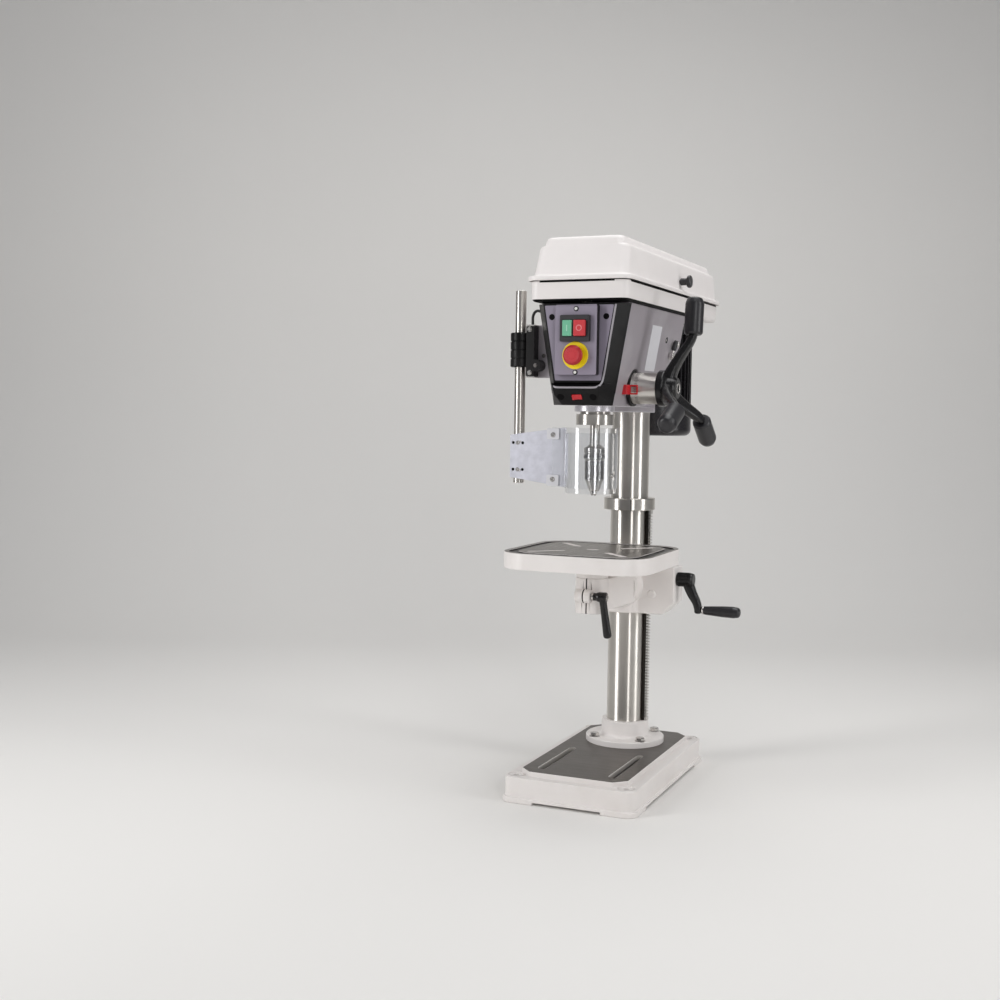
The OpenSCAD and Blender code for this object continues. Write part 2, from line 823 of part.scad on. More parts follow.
module feed_grips() {
    r = knob_d / 2;
    dome = 11;
    color(black_plastic) at_column() at_star() translate([knob_x - 1, 0, knob_r0]) rotate_extrude()
        polygon(concat([[0, 0], [r - 3, 0], [r, 4]],
            [for (a = [0:15:90]) [r * cos(a), knob_len - dome + dome * sin(a)]]));
}

// Foot on the side of the head and a window in front of the drum
module depth_pointer() {
    z0 = feed_z - 13;
    z1 = feed_z + 6;
    y0 = feed_y + feed_hub_d / 2 + 3;
    x1 = drum_x0 + 20;
    foot_x = head_width(z1) / 2 + 6;
    frame = 3;
    color(red) at_column() difference() {
        union() {
            front_sheet(-y0 - 20, -y0) polygon([[head_width(z0) / 2, z0], [foot_x, z0], [foot_x, z1], [head_width(z1) / 2, z1]]);
            block([foot_x - 1, -y0 - 3, z0], [x1, -y0, z1]);
        }
        block([foot_x + frame, -y0 - 4, z0 + frame], [x1 - frame, -y0 + 1, z1 - frame]);
    }
}

module spring_cap() {
    cap_d = feed_boss_d - 4;
    depth = 24;
    color(black_plastic) at_column() difference() {
        rod_x(-feed_face - depth, -feed_face, cap_d, -feed_y, feed_z);
        rod_x(-feed_face - depth + 3, -feed_face + 1, cap_d - 6, -feed_y, feed_z);
    }
}

// Flat spiral spring, wound from the feed shaft out to the cap
module return_spring() {
    turns = 5;
    r0 = feed_shaft_d / 2 + gap;
    r1 = (feed_boss_d - 10) / 2 - gap;
    strip = 1;
    count = 16 * turns;
    function spiral(r, i) = (r + (r1 - strip - r0) * i / count) * [cos(22.5 * i), sin(22.5 * i)];
    color(dark_steel) at_column() translate([0, -feed_y, feed_z]) rotate([90, 0, 90]) translate([0, 0, -feed_face - 16])
        linear_extrude(12)
        polygon(concat([for (i = [0:count]) spiral(r0, i)], [for (i = [count:-1:0]) spiral(r0 + strip, i)]));
}

module quill() {
    first = -2;
    last = ceil(quill_travel / tooth_pitch) + 2;
    color(steel) at_column() translate([0, -throat, 0])
    difference() {
        union() {
            rod_z(quill_z0, quill_z1, quill_d, 0, 0);
            rod_z(quill_z0, collar_z1, collar_d, 0, 0);
        }
        rod_z(quill_z0 - 1, quill_z1 + 1, bearing_d + 2 * run, 0, 0);
        block([-quill_flat_w / 2, quill_flat, feed_z + (first - 0.5) * tooth_pitch],
            [quill_flat_w / 2, quill_r + 1, feed_z + (last + 0.5) * tooth_pitch]);
        for (k = [first:last]) translate([0, quill_flat - addendum, feed_z + k * tooth_pitch])
            side_sheet(-quill_flat_w / 2, quill_flat_w / 2) polygon(rack_gap());
    }
}

module quill_bearings() {
    color(dark_steel) at_column() for (z = [quill_z0 + 4, quill_z1 - bearing_h - 4])
        tube_z(z, z + bearing_h, bearing_d, spindle_d + 2 * run, 0, -throat);
}

module spindle() { color(steel) at_column() rod_z(chuck_top - 24, spindle_top, spindle_d, 0, -throat); }

// One jaw's place: the tip's end on the axis, leaning outwards
module at_jaw(k) {
    translate([0, -throat, jaw_tip_z]) rotate(90 + 120 * k) translate([jaw_tip_r, 0, 0]) rotate([0, jaw_slant, 0]) children();
}

module chuck_body() {
    nose_r = chuck_r - 9;
    neck = chuck_r - 4;
    color(dark_steel) at_column()
    difference() {
        translate([0, -throat, 0]) rotate_extrude()
            polygon([[0, chuck_z0], [nose_r, chuck_z0], [chuck_r, chuck_z0 + chuck_cone_h], [chuck_r, chuck_top - 14],
                [neck, chuck_top - 10], [neck, chuck_top], [0, chuck_top]]);
        rod_z(chuck_top - 24, chuck_top + 1, spindle_d + 2 * run, 0, -throat);
        for (k = [0:2]) at_jaw(k) translate([0, 0, -12]) cylinder(d = jaw_d + 2 * gap, h = jaw_len + jaw_stroke + 14);
    }
}

module chuck_sleeve() {
    color(steel) at_column()
        tube_z(chuck_z0 + chuck_cone_h + 1, chuck_top - 20, chuck_d + 2 * (chuck_sleeve_wall + run), chuck_d + 2 * run,
            0, -throat);
}

// A round jaw, cut to its third of the circle and to a flat tip
module chuck_jaw(k) {
    room = 60;
    color(steel) at_column()
    intersection() {
        at_jaw(k) translate([0, 0, -12]) cylinder(d = jaw_d, h = jaw_len + 12);
        translate([0, -throat, jaw_tip_z]) rotate(90 + 120 * k) linear_extrude(room)
            polygon([[gap, 0], [room, room * tan(60)], [room, -room * tan(60)]]);
    }
}

// Stepped pulley with one groove on each step, smallest step at the end asked for
module stepped_pulley(y, r_small, small_on_top, bore) {
    difference() {
        for (k = [0:steps - 1]) {
            r = r_small + step_r * (small_on_top ? steps - 1 - k : k);
            z = pulley_z + k * step_h;
            translate([0, y, z]) rotate_extrude()
                polygon([[bore / 2, 0], [r, 0], [r, flange_h], [r - groove, flange_h + gap / 2], [r - groove, step_h - flange_h - gap / 2],
                    [r, step_h - flange_h], [r, step_h], [bore / 2, step_h]]);
        }
    }
}

// Radius of a step at a level
function step_at(r_small, small_on_top, level) = r_small + step_r * (small_on_top ? steps - 1 - level : level);

module spindle_pulley() {
    color(iron) at_column() {
        stepped_pulley(-throat, spindle_step_r, true, spindle_d + 2 * run);
        tube_z(head_z1 - pulley_bush_h + 2, pulley_z + eps, pulley_hub_d, spindle_d + 2 * run, 0, -throat);
    }
}

module idler_pulley() { color(iron) at_column() stepped_pulley(-idler_y, idler_step_r, false, idler_post_d + 2 * run); }

module motor_pulley() {
    color(iron) at_column() {
        stepped_pulley(motor_y, motor_step_r, true, motor_shaft_d - 2 * eps);
        rod_z(motor_top - motor_shaft_in, pulley_z + steps * step_h + 4, motor_shaft_d, 0, motor_y);
    }
}

// Belt between two pulleys, at the level of one pair of steps
module belt(y0, r0, y1, r1, level) {
    z = pulley_z + level * step_h + (step_h - belt_w) / 2;
    inner = groove - gap;
    color(black_plastic) at_column() translate([0, 0, z]) linear_extrude(belt_w) difference() {
        wrap_outline(y0, r0 - gap, y1, r1 - gap);
        wrap_outline(y0, r0 - inner, y1, r1 - inner);
    }
}

module spindle_belt() {
    belt(-throat, step_at(spindle_step_r, true, spindle_level), -idler_y, step_at(idler_step_r, false, spindle_level),
        spindle_level);
}

module motor_belt() {
    belt(-idler_y, step_at(idler_step_r, false, motor_level), motor_y, step_at(motor_step_r, true, motor_level),
        motor_level);
}

module motor_body() {
    fin = 360 / fin_count;
    core_r = motor_core_d / 2;
    fin_r = motor_d / 2;
    bell_z = motor_z + bell_h;
    edge = 14;
    color(black_plastic) at_column() translate([0, motor_y, 0])
    difference() {
        union() {
            translate([0, 0, bell_z - 2]) linear_extrude(fin_z1 - bell_z + 2)
                polygon([for (k = [0:fin_count - 1]) for (p = [[core_r, 0], [fin_r - 1, 0.05], [fin_r - 1, 0.3], [core_r, 0.35]])
                    p[0] * [cos((k + p[1]) * fin), sin((k + p[1]) * fin)]]);
            rotate_extrude()
                polygon(concat([[0, motor_z]],
                    [for (a = [-90:15:0]) [fin_r - edge + edge * cos(a), motor_z + edge + edge * sin(a)]],
                    [[fin_r, bell_z], [0, bell_z]]));
            rod_z(fin_z1 - 2, motor_top, motor_d - 6, 0, 0);
        }
        rod_z(motor_top - motor_shaft_in - 1, motor_top + 1, motor_shaft_d + 2 * run, 0, 0);
    }
}

module motor_plate() {
    w = 2 * slide_rod_x + 36;
    lug_w = slide_rod_d + 10;
    color(iron) at_column()
    difference() {
        union() {
            block([-w / 2, plate_front, motor_top], [w / 2, motor_y + 80, motor_top + motor_plate_t]);
            for (s = [-1, 1]) {
                block([s * slide_rod_x - lug_w / 2, plate_front, slide_rod_z - lug_w / 2],
                    [s * slide_rod_x + lug_w / 2, plate_front + 14, motor_top + 1]);
                rod_y(tension_travel + 8, plate_front + 1, slide_rod_d, s * slide_rod_x, slide_rod_z);
            }
        }
        rod_z(motor_top - 1, motor_top + motor_plate_t + 1, 28, 0, motor_y);
    }
}

module tension_lever() {
    y = 18;
    x = head_width(tension_z + 8) / 2 + gap;
    knob_at = 12;
    color(steel) at_column() {
        rod_x(x, x + 10, 15, y, tension_z);
        translate([x + 5, y, tension_z]) rotate([-14, 12, 0]) {
            cylinder(d = 6, h = knob_at + 1);
            translate([0, 0, knob_at]) cylinder(d = tension_knob_d, h = tension_knob_h);
            translate([0, 0, knob_at + tension_knob_h]) sphere(d = tension_knob_d);
        }
    }
}

// Outline of the tub, shrunk by a margin
module tub_outline(margin) {
    translate([0, tub_mid]) rounded_rect(tub_w - 2 * margin, tub_len - 2 * margin, tub_corner_r - margin);
}

// Solid of the tub with its lower edge rounded, shrunk by a margin
module tub_form(margin) {
    slab = 0.5;
    hull() for (a = [0:30:90]) translate([0, 0, margin + tub_fillet * (1 - cos(a))])
        linear_extrude(slab) tub_outline(margin + tub_fillet * (1 - sin(a)), $fn = 32);
    translate([0, 0, margin + tub_fillet]) linear_extrude(tub_h - tub_fillet) tub_outline(margin, $fn = 32);
}

module belt_tub() {
    color(white_paint) at_column() {
        difference() {
            translate([0, 0, head_z1]) tub_form(0);
            translate([0, 0, head_z1]) tub_form(cover_wall);
            rod_z(head_z1 - 1, seam_z, pulley_hub_d + 8, 0, -throat);
            rod_z(head_z1 - 1, seam_z, idler_post_d + 2 * run, 0, -idler_y);
            translate([0, motor_y - tension_travel / 2, head_z1 - 1]) linear_extrude(tub_h) slot_outline(40, 52 + tension_travel);
        }
        for (y = hinge_ys) difference() {
            union() {
                rod_y(y, y + knuckle_len, 2 * knuckle_r, -hinge_x, lid_z0);
                block([-hinge_x - knuckle_r, y, seam_z - 18], [-tub_w / 2 + 1, y + knuckle_len, seam_z - knuckle_r - 1]);
                block([-hinge_x - knuckle_r, y, seam_z - 18], [-hinge_x, y + knuckle_len, lid_z0]);
            }
            rod_y(y - 1, y + knuckle_len + 1, 2 * (hinge_r + run), -hinge_x, lid_z0);
        }
    }
}

module hinge_pin() {
    color(steel) at_column() for (y = hinge_ys)
        rod_y(y - 1, y + 2 * knuckle_len + 2, 2 * hinge_r, -hinge_x, lid_z0);
}

// Solid of the lid, shrunk by a margin
module lid_form(margin) {
    slab = 1;
    shelf = lid_shoulder - slab - margin;
    top = lid_h - slab - margin;
    function level(z, w, inset, r) = [z, w - 2 * margin, tub_front - 2 - margin - lid_slope * z / lid_h, tub_back - inset - margin, r];
    body = [level(0, tub_w - 4, 2, tub_corner_r), level(shelf - 5, lid_w1, lid_back1, tub_corner_r),
        level(shelf, lid_w1 - 6, lid_back1 + 3, tub_corner_r - 2)];
    crown = [level(shelf - 1, lid_w2, lid_back2, tub_corner_r - 4), level(top - 4, lid_w2 - 6, lid_back2 + 3, tub_corner_r - 5),
        level(top, lid_w3, lid_back3, tub_corner_r - 6)];
    for (form = [body, crown]) hull() for (v = form) translate([0, (v[3] - v[2]) / 2, lid_z0 + v[0]]) linear_extrude(slab)
        rounded_rect(v[1], v[2] + v[3], v[4] - margin, $fn = 32);
}

module lid() {
    color(white_paint) at_column() {
        difference() {
            union() {
                lid_form(0);
                translate([0, 0, lid_z0]) linear_extrude(lid_lip_h) tub_outline(-lid_lip);
            }
            translate([0, 0, -eps]) lid_form(cover_wall);
            rod_x(tub_w / 2 - 40, tub_w / 2 + 20, lid_knob_d + 2 * run, lid_knob_y, lid_knob_z);
        }
        for (y = hinge_ys) difference() {
            union() {
                rod_y(y + knuckle_len + 0.5, y + 2 * knuckle_len + 0.5, 2 * knuckle_r, -hinge_x, lid_z0);
                block([-hinge_x, y + knuckle_len + 0.5, lid_z0 + 1],
                    [-tub_w / 2 - lid_lip + 1, y + 2 * knuckle_len + 0.5, lid_z0 + knuckle_r]);
            }
            rod_y(y, y + 3 * knuckle_len, 2 * (hinge_r + run), -hinge_x, lid_z0);
        }
    }
}

module lid_knob() {
    x = tub_w / 2 - 3;
    color(black_plastic) at_column() {
        rod_x(x - 12, x + 15, lid_knob_d, lid_knob_y, lid_knob_z);
        rod_x(x + 1, x + 15, 15, lid_knob_y, lid_knob_z);
        rod_x(x + 15 - eps, x + 24, 26, lid_knob_y, lid_knob_z);
    }
}

// Thin slice of the panel's solid
module panel_slice(y, w1, z1, w0, z0) {
    front_sheet(-y, -y + 1) polygon([[-w1 / 2, z1], [w1 / 2, z1], [w0 / 2, z0], [-w0 / 2, z0]]);
}

module front_panel() {
    back_w1 = head_width(panel_top) + 2 * panel_rim;
    back_w0 = head_width(panel_foot) + 2 * panel_rim;
    color(black_plastic) at_column()
    difference() {
        union() {
            hull() {
                panel_slice(head_front + 1, back_w1, panel_top, back_w0 - 6, panel_foot - 20);
                panel_slice(panel_y, panel_w1, panel_top - 2, panel_w0, panel_foot);
            }
            hull() {
                panel_slice(head_front + 1, back_w0, panel_foot + 2, head_w0 + 2 * panel_rim, head_z0);
                panel_slice(chin_y, chin_w, chin_z + 5, chin_w - 2, chin_z);
                panel_slice(chin_y - (chin_z - head_z0 - chin_cut_h) / (chin_z - head_z0) * (chin_y - chin_low_y),
                    chin_w - 2, head_z0 + chin_cut_h, chin_w - 3, head_z0 + chin_cut_h - 1);
                panel_slice(chin_low_y, chin_w - 2 * chin_cut_w, head_z0 + 1, chin_w - 2 * chin_cut_w - 2, head_z0);
            }
        }
        at_column_rocker() block([-rocker_w / 2 - 1, -rocker_h / 2 - gap, -rocker_t - 4], [rocker_w / 2 + 1, rocker_h / 2 + gap, 9]);
        at_column_rocker() translate([0, 0, -rocker_pivot]) rotate([90, 0, 0])
            cylinder(d = rocker_pin_d + 2 * run, h = rocker_pin_len + 2 * gap, center = true);
        for (s = [-1, 1]) translate([s * light_x, 0, 0]) at_column_rocker() translate([0, 0, -6]) cylinder(d = light_d, h = 20);
        rod_y(-panel_y - 1, -panel_y + 22, 24, 0, stop_z);
    }
}

module control_box() {
    color(grey_paint) at_column()
    difference() {
        front_sheet(-box_y, -panel_y) translate([0, box_z0 + box_h / 2]) rounded_rect(box_w, box_h, 3);
        rod_y(-box_y - 1, -panel_y + 1, 22 + 2 * gap, 0, stop_z);
    }
}

module switch_bezel() {
    y1 = box_y;
    color(black_plastic) at_column()
    difference() {
        front_sheet(-y1 - bezel_t, -y1) translate([0, bezel_z]) rounded_rect(bezel_w, bezel_h, 3);
        for (b = [[start_x, start_w], [stop_x, stop_w]])
            block([b[0] - b[1] / 2 - gap, -y1 - bezel_t - 1, bezel_z - button_h / 2 - gap],
                [b[0] + b[1] / 2 + gap, -y1 + 1, bezel_z + button_h / 2 + gap]);
    }
}

module stop_ring() {
    color([0.95, 0.80, 0.05]) at_column() difference() {
        rod_y(-box_y - stop_ring_t, -box_y, stop_ring_d, 0, stop_z);
        rod_y(-box_y - stop_ring_t - 1, -box_y + 1, 22 + 2 * gap, 0, stop_z);
    }
}

module stop_mushroom() {
    cap_y = box_y + stop_ring_t + mushroom_travel + 2;
    color(red) at_column() translate([0, -cap_y, stop_z]) rotate([90, 0, 0]) rotate_extrude()
        polygon([[0, -cap_y + box_y - 10], [11, -cap_y + box_y - 10], [11, -1], [mushroom_d / 2 - 3, 0], [mushroom_d / 2, 3],
            [mushroom_d / 2, mushroom_t - 4], [mushroom_d / 2 - 5, mushroom_t], [0, mushroom_t]]);
}

// A rectangular push button in the switch
module push_button(x, w, proud) {
    y0 = box_y + button_travel + 0.5;
    block([x - w / 2, -box_y - bezel_t - proud, bezel_z - button_h / 2], [x + w / 2, -y0, bezel_z + button_h / 2]);
}

module start_button() { color([0.35, 0.65, 0.50]) at_column() push_button(start_x, start_w, button_travel + 1); }

module stop_button() { color(red) at_column() push_button(stop_x, stop_w, button_travel + 3); }

// Frame of the chin's sloping face: Z out of the face, Y up it
module at_column_rocker() { translate(rocker_pos) rotate([chin_angle, 0, 0]) children(); }

module light_rocker() {
    w = rocker_w / 2 - 0.5;
    h = rocker_h / 2;
    color(red) at_column() at_column_rocker() translate([0, 0, -rocker_pivot]) rotate([90, rocker_tip, 0]) {
        translate([0, 0, -h]) linear_extrude(2 * h)
            polygon([[-w, 0], [0, -rocker_t + 2], [w, 0], [w, rocker_t - 1], [0, rocker_t - 3], [-w, rocker_t - 1]]);
        cylinder(d = rocker_pin_d, h = rocker_pin_len, center = true);
    }
}

// Sheet from the head's side to the switch, with a flange on the head and one over and under the switch
module guard_bracket() {
    z0 = holder_z;
    z1 = bracket_z1;
    low0 = head_width(bracket_z0) / 2;
    side0 = head_width(z0) / 2;
    side1 = head_width(z1) / 2;
    left = switch_x0 - switch_w;
    color(grey_paint) at_column() {
        front_sheet(-bracket_y, -bracket_y + bracket_t)
            polygon([[-left - 12, bracket_z0], [-low0 - bracket_t + 1, bracket_z0], [-side1 - bracket_t + 1, z1], [-left - 12, z1]]);
        front_sheet(-bracket_y, -bracket_y + 28)
            polygon([[-side0 - bracket_t, z0], [-side0, z0], [-side1, z1], [-side1 - bracket_t, z1]]);
        for (z = [bracket_z0, z1 - bracket_t])
            block([-switch_x0, -throat - switch_d / 2, z], [-left, -bracket_y + eps, z + bracket_t]);
    }
}

module guard_switch() {
    z1 = holder_z + holder_h;
    ribs = 4;
    color(black_plastic) at_column()
    difference() {
        union() {
            rod_z(holder_z, z1, holder_d - 3, -guard_x, -throat);
            for (k = [0:ribs - 1]) rod_z(holder_z + k * holder_h / ribs + 1, holder_z + (k + 1) * holder_h / ribs - 1, holder_d, -guard_x, -throat);
            block([-switch_x0, -throat - switch_d / 2, switch_z0], [-switch_x0 + switch_w, -bracket_y - run, switch_z1]);
            rod_y(-throat - switch_d / 2 - 3, -bracket_y - run, switch_boss_d, -switch_x0 + switch_w + 4, holder_z + 3);
        }
        rod_z(holder_z - 10, z1 + 20, bush_d + 2 * run, -guard_x, -throat);
    }
}

// Points of a ring about a route point, square to the route
function route_dir(i) =
    let (a = lead_route[max(i - 1, 0)], b = lead_route[min(i + 1, len(lead_route) - 1)])
    (b - a) / norm(b - a);
function lead_ring(i) =
    let (d = route_dir(i), u = [0, 1, 0], v = cross(d, u))
    [for (k = [0:7]) lead_route[i] + lead_d / 2 * (cos(45 * k) * u + sin(45 * k) * v)];

module guard_lead() {
    n = len(lead_route);
    points = [for (i = [0:n - 1]) each lead_ring(i)];
    sides = [for (i = [0:n - 2]) for (k = [0:7])
        each [[8 * i + k, 8 * i + (k + 1) % 8, 8 * i + 8 + (k + 1) % 8], [8 * i + k, 8 * i + 8 + (k + 1) % 8, 8 * i + 8 + k]]];
    ends = [[for (k = [7:-1:0]) k], [for (k = [0:7]) 8 * (n - 1) + k]];
    color(black_plastic) at_column() polyhedron(points, concat(sides, ends));
}

module guard_bush() {
    color(black_plastic) at_column() tube_z(holder_z, holder_z + holder_h, bush_d, rod_d + 2 * run, -guard_x, -throat);
}

module guard_rod() { color(steel) at_column() rod_z(rod_z0, rod_z1, rod_d, -guard_x, -throat); }

module guard_plate() {
    color([0.75, 0.76, 0.78]) at_column() difference() {
        front_sheet(-plate_y - plate_t, -plate_y)
            polygon([[-plate_left, plate_z - plate_h0 / 2], [-plate_right, plate_z - shield_h / 2],
                [-plate_right, plate_z + shield_h / 2], [-plate_left, plate_z + plate_h0 / 2]]);
        for (s = [-1, 1]) for (k = [-1, 1])
            rod_y(-plate_y - plate_t - 1, -plate_y + 1, 4, -guard_x + 8 * k, plate_z + s * 29);
    }
}

// Wall of a shield, bent round the chuck and open at the rear
module shield_wall_outline(r, right_end) {
    inner = r - shield_wall;
    left_end = asin((plate_y - throat + plate_t + 1) / r);
    reach = 3 * r;
    difference() {
        circle(r);
        circle(inner);
        polygon([[0, 0], reach * [cos(right_end), sin(right_end)], [reach, reach], [-reach, reach],
            reach * [-cos(left_end), -sin(left_end)]]);
    }
}

module outer_shield() {
    y1 = plate_y + plate_t;
    color(clear) at_column() {
        translate([-shield_x, -throat, shield_z]) linear_extrude(shield_h) shield_wall_outline(shield_r, 20);
        block([-plate_right - 26, -y1 - shield_wall, shield_z], [-shield_x - shield_r + 3.4, -y1, shield_z + shield_h]);
    }
}

module inner_shield() {
    color(clear) at_column() translate([-shield_x, -throat, shield_z - shield_drop])
        linear_extrude(shield_h) shield_wall_outline(inner_r, 24);
}

// Underside pocket of the table, a ring between the stem and the rim
module table_pocket() {
    difference() {
        rounded_rect(table_w - 2 * table_rim, table_w - 2 * table_rim, table_corner_r - table_rim);
        circle(d = stem_collar_d + 30);
    }
}

module table() {
    lip = 9;
    color(white_paint) at_column() translate([0, -throat, 0])
    difference() {
        union() {
            translate([0, 0, table_bottom]) linear_extrude(table_t) rounded_rect(table_w, table_w, table_corner_r);
            rod_z(boss_top, table_bottom + eps, stem_collar_d, 0, 0);
            rod_z(boss_bottom + 4, table_bottom + eps, stem_d, 0, 0);
        }
        translate([0, 0, table_bottom - 1]) linear_extrude(table_t - table_plate_t + 1) table_pocket();
        translate([0, 0, table_z - gutter_t]) linear_extrude(gutter_t + 1) difference() {
            rounded_rect(table_w - 2 * lip, table_w - 2 * lip, table_corner_r - lip);
            rounded_rect(table_w - 2 * (lip + gutter_w), table_w - 2 * (lip + gutter_w), table_corner_r - lip - gutter_w);
        }
        for (k = [0:3]) rotate(45 + 90 * k) translate([0, (table_slot_in + table_slot_out) / 2, table_bottom - 1])
            linear_extrude(table_t + 2) slot_outline(table_slot_w, table_slot_out - table_slot_in);
        rod_z(boss_bottom, table_z + 1, table_bore_d, 0, 0);
    }
}

module table_arm() {
    flange_y = tilt_face + gap;
    color(white_paint) at_column()
    difference() {
        union() {
            rod_z(boss_bottom, boss_top, boss_d, 0, -throat);
            translate([0, 0, boss_bottom + 4]) linear_extrude(arm_h)
                polygon([[-arm_w0 / 2, -throat], [arm_w0 / 2, -throat], [arm_w1 / 2, -flange_y - 4], [-arm_w1 / 2, -flange_y - 4]]);
            rod_y(-flange_y - tilt_flange_t, -flange_y, tilt_flange_d, 0, tilt_z);
            rod_x(-lug_x0, lug_x1, lug_d, -lug_y, lug_z);
        }
        rod_z(boss_bottom - 1, boss_top + 1, stem_d + 2 * run, 0, -throat);
        block([-slit_w / 2, -lug_y - lug_d, boss_bottom - 1], [slit_w / 2, -throat, boss_top + 1]);
        rod_x(-lug_x0 - 1, lug_x1 + 1, clamp_screw_d + 2 * run, -lug_y, lug_z);
        rod_y(-flange_y - tilt_flange_t - 16, -flange_y + 1, tilt_bolt_d + 2 * run, 0, tilt_z);
    }
}

module tilt_bolt() {
    color(steel) at_column() rod_y(-tilt_face - tilt_flange_t - 12, -max(tilt_face - tilt_bolt_in, column_r + 6), tilt_bolt_d, 0, tilt_z);
}

// Ratchet lever on a clamp screw that lies along X: hub out to the right, arm hanging down
module clamp_lever(x0, y, z, screw_in) {
    hub_len = 32;
    collar = clamp_screw_d * 1.5;
    x1 = x0 + hub_len;
    rod_x(x0 - screw_in, x0 + eps, clamp_screw_d, y, z);
    rod_x(x0, x0 + 12, collar, y, z);
    rod_x(x0 + 12 - eps, x1, 2 * clamp_screw_d, y, z);
    translate([x1 - 9, y, z]) rotate([0, 180 - 9, 0]) cylinder(d1 = collar, d2 = 11, h = lever_len);
}

module table_lever() { color(black_plastic) at_column() clamp_lever(lug_x1 + gap, -lug_y, lug_z, lug_x0 + lug_x1 + 2); }

module bracket_lever() {
    color(black_plastic) at_column() mirror([1, 0, 0])
        clamp_lever(lug_x1 + gap, bracket_lug_y, bracket_lug_z, 2 * lug_x1 + 2);
}

module table_bracket() {
    cut = 26;
    x0 = column_r / 2;
    lift_y1 = gearbox_back - gearbox_wall;
    bore_z0 = min(clamp_bottom, tilt_z - tilt_flange_d / 2) - 1;
    bore_z1 = max(clamp_top, tilt_z + tilt_flange_d / 2) + 1;
    color(white_paint) at_column()
    difference() {
        union() {
            rod_z(clamp_bottom, clamp_top, 2 * clamp_r, 0, 0);
            rod_y(-tilt_face, 0, tilt_flange_d, 0, tilt_z);
            front_sheet(-gearbox_front, gearbox_back)
                polygon([[x0, clamp_bottom], [gearbox_x - cut, clamp_bottom], [gearbox_x, clamp_bottom + cut],
                    [gearbox_x, clamp_top], [x0, clamp_top]]);
            rod_x(-lug_x1, lug_x1, lug_d + 6, bracket_lug_y, bracket_lug_z);
            block([-lug_x1, 0, bracket_lug_z - lug_d / 2 - 3], [lug_x1, bracket_lug_y, bracket_lug_z + lug_d / 2 + 3]);
        }
        rod_z(bore_z0, bore_z1, column_d + 2 * run, 0, 0);
        block([0, -rack_w / 2 - gap, bore_z0], [rack_tip_x + gap, rack_w / 2 + gap, bore_z1]);
        rod_y(-gearbox_front + gearbox_wall, lift_y1, 2 * (wheel_r + gear_room), lift_x, lift_z);
        rod_y(-gearbox_front - 1, gearbox_back + 1, lift_pin_d + 2 * run, lift_x, lift_z);
        rod_x(lift_x - 20, gearbox_x - 14, 2 * (worm_core_r + 3), -worm_y, worm_z);
        rod_x(lift_x, gearbox_x + 1, worm_shaft_d + 2 * run, -worm_y, worm_z);
        rod_y(-tilt_face - 1, 0, tilt_bolt_d + 2 * run, 0, tilt_z);
        block([-slit_w / 2, 0, bore_z0], [slit_w / 2, bracket_lug_y + lug_d, bore_z1]);
        rod_x(-lug_x1 - 1, lug_x1 + 1, clamp_screw_d + 2 * run, bracket_lug_y, bracket_lug_z);
    }
}

// Lifting pinion and worm wheel on one pin
module lift_gear() {
    wheel_t = 10;
    y0 = -worm_y - wheel_t / 2;
    color(steel) at_column() {
        rod_y(-gearbox_front, gearbox_back, lift_pin_d, lift_x, lift_z);
        translate([lift_x, y0 + wheel_t, lift_z]) rotate([90, 0, 0]) rotate(90) linear_extrude(wheel_t) polygon(gear_outline(wheel_teeth));
        translate([lift_x, gearbox_back - gearbox_wall - gap, lift_z]) rotate([90, 0, 0]) rotate(180)
            linear_extrude(gearbox_back - gearbox_wall - gap + rack_w / 2) polygon(gear_outline(lift_teeth));
    }
}

// Hand crank on its worm shaft, arm hanging down
module crank() {
    x1 = gearbox_x + crank_hub_len;
    color(black_plastic) at_column() {
        rod_x(lift_x - 18, gearbox_x + 2, 2 * worm_core_r, -worm_y, crank_z);
        rod_x(gearbox_x - 13, gearbox_x + 2, worm_shaft_d, -worm_y, crank_z);
        rod_x(gearbox_x + gap, x1, crank_hub_d, -worm_y, crank_z);
        translate([0, -worm_y - 8, 0]) front_sheet(0, 16)
            polygon([[x1 - 20, crank_z], [x1 - 1, crank_z], [x1 + 6, crank_z - 22], [crank_arm_x + 8, crank_z - crank_r + 6],
                [crank_arm_x + 8, crank_z - crank_r - 9], [crank_arm_x - 4, crank_z - crank_r - 9],
                [crank_arm_x - 8, crank_z - crank_r + 8], [x1 - 12, crank_z - 26]]);
        rod_x(crank_arm_x + 7, crank_arm_x + grip_len + 8, 8, -worm_y, crank_z - crank_r);
    }
}

module crank_grip() {
    x0 = crank_arm_x + 8 + gap;
    color(black_plastic) at_column() translate([x0, -worm_y, crank_z - crank_r]) rotate([0, 90, 0]) rotate_extrude()
        polygon([[4 + run, 0], [8, 0], [9, 8], [11.5, grip_len * 0.55], [12, grip_len - 14], [10, grip_len - 3], [7, grip_len],
            [4 + run, grip_len]]);
}

base();
column_flange();
flange_bolts();
column();
rack_ring();
head();
front_panel();
control_box();
switch_bezel();
stop_ring();
belt_tub();
hinge_pin();
spindle_belt();
motor_belt();
guard_bracket();
guard_switch();
guard_lead();
depth_pointer();
feed_bearing();
spring_cap();
return_spring();
quill();
quill_bearings();
spindle();
chuck_body();
chuck_sleeve();
chuck_jaw(0);  // chuck_jaw_1
chuck_jaw(1);  // chuck_jaw_2
chuck_jaw(2);  // chuck_jaw_3
spindle_pulley();
idler_pulley();
motor_pulley();
motor_body();
motor_plate();
tension_lever();
feed_shaft();
feed_star();
feed_grips();
depth_drum();
rack();
table_bracket();
bracket_lever();
crank();
crank_grip();
lift_gear();
table_arm();
tilt_bolt();
table();
table_lever();
lid();
lid_knob();
guard_bush();
guard_rod();
guard_plate();
outer_shield();
inner_shield();
stop_mushroom();
start_button();
stop_button();
light_rocker();
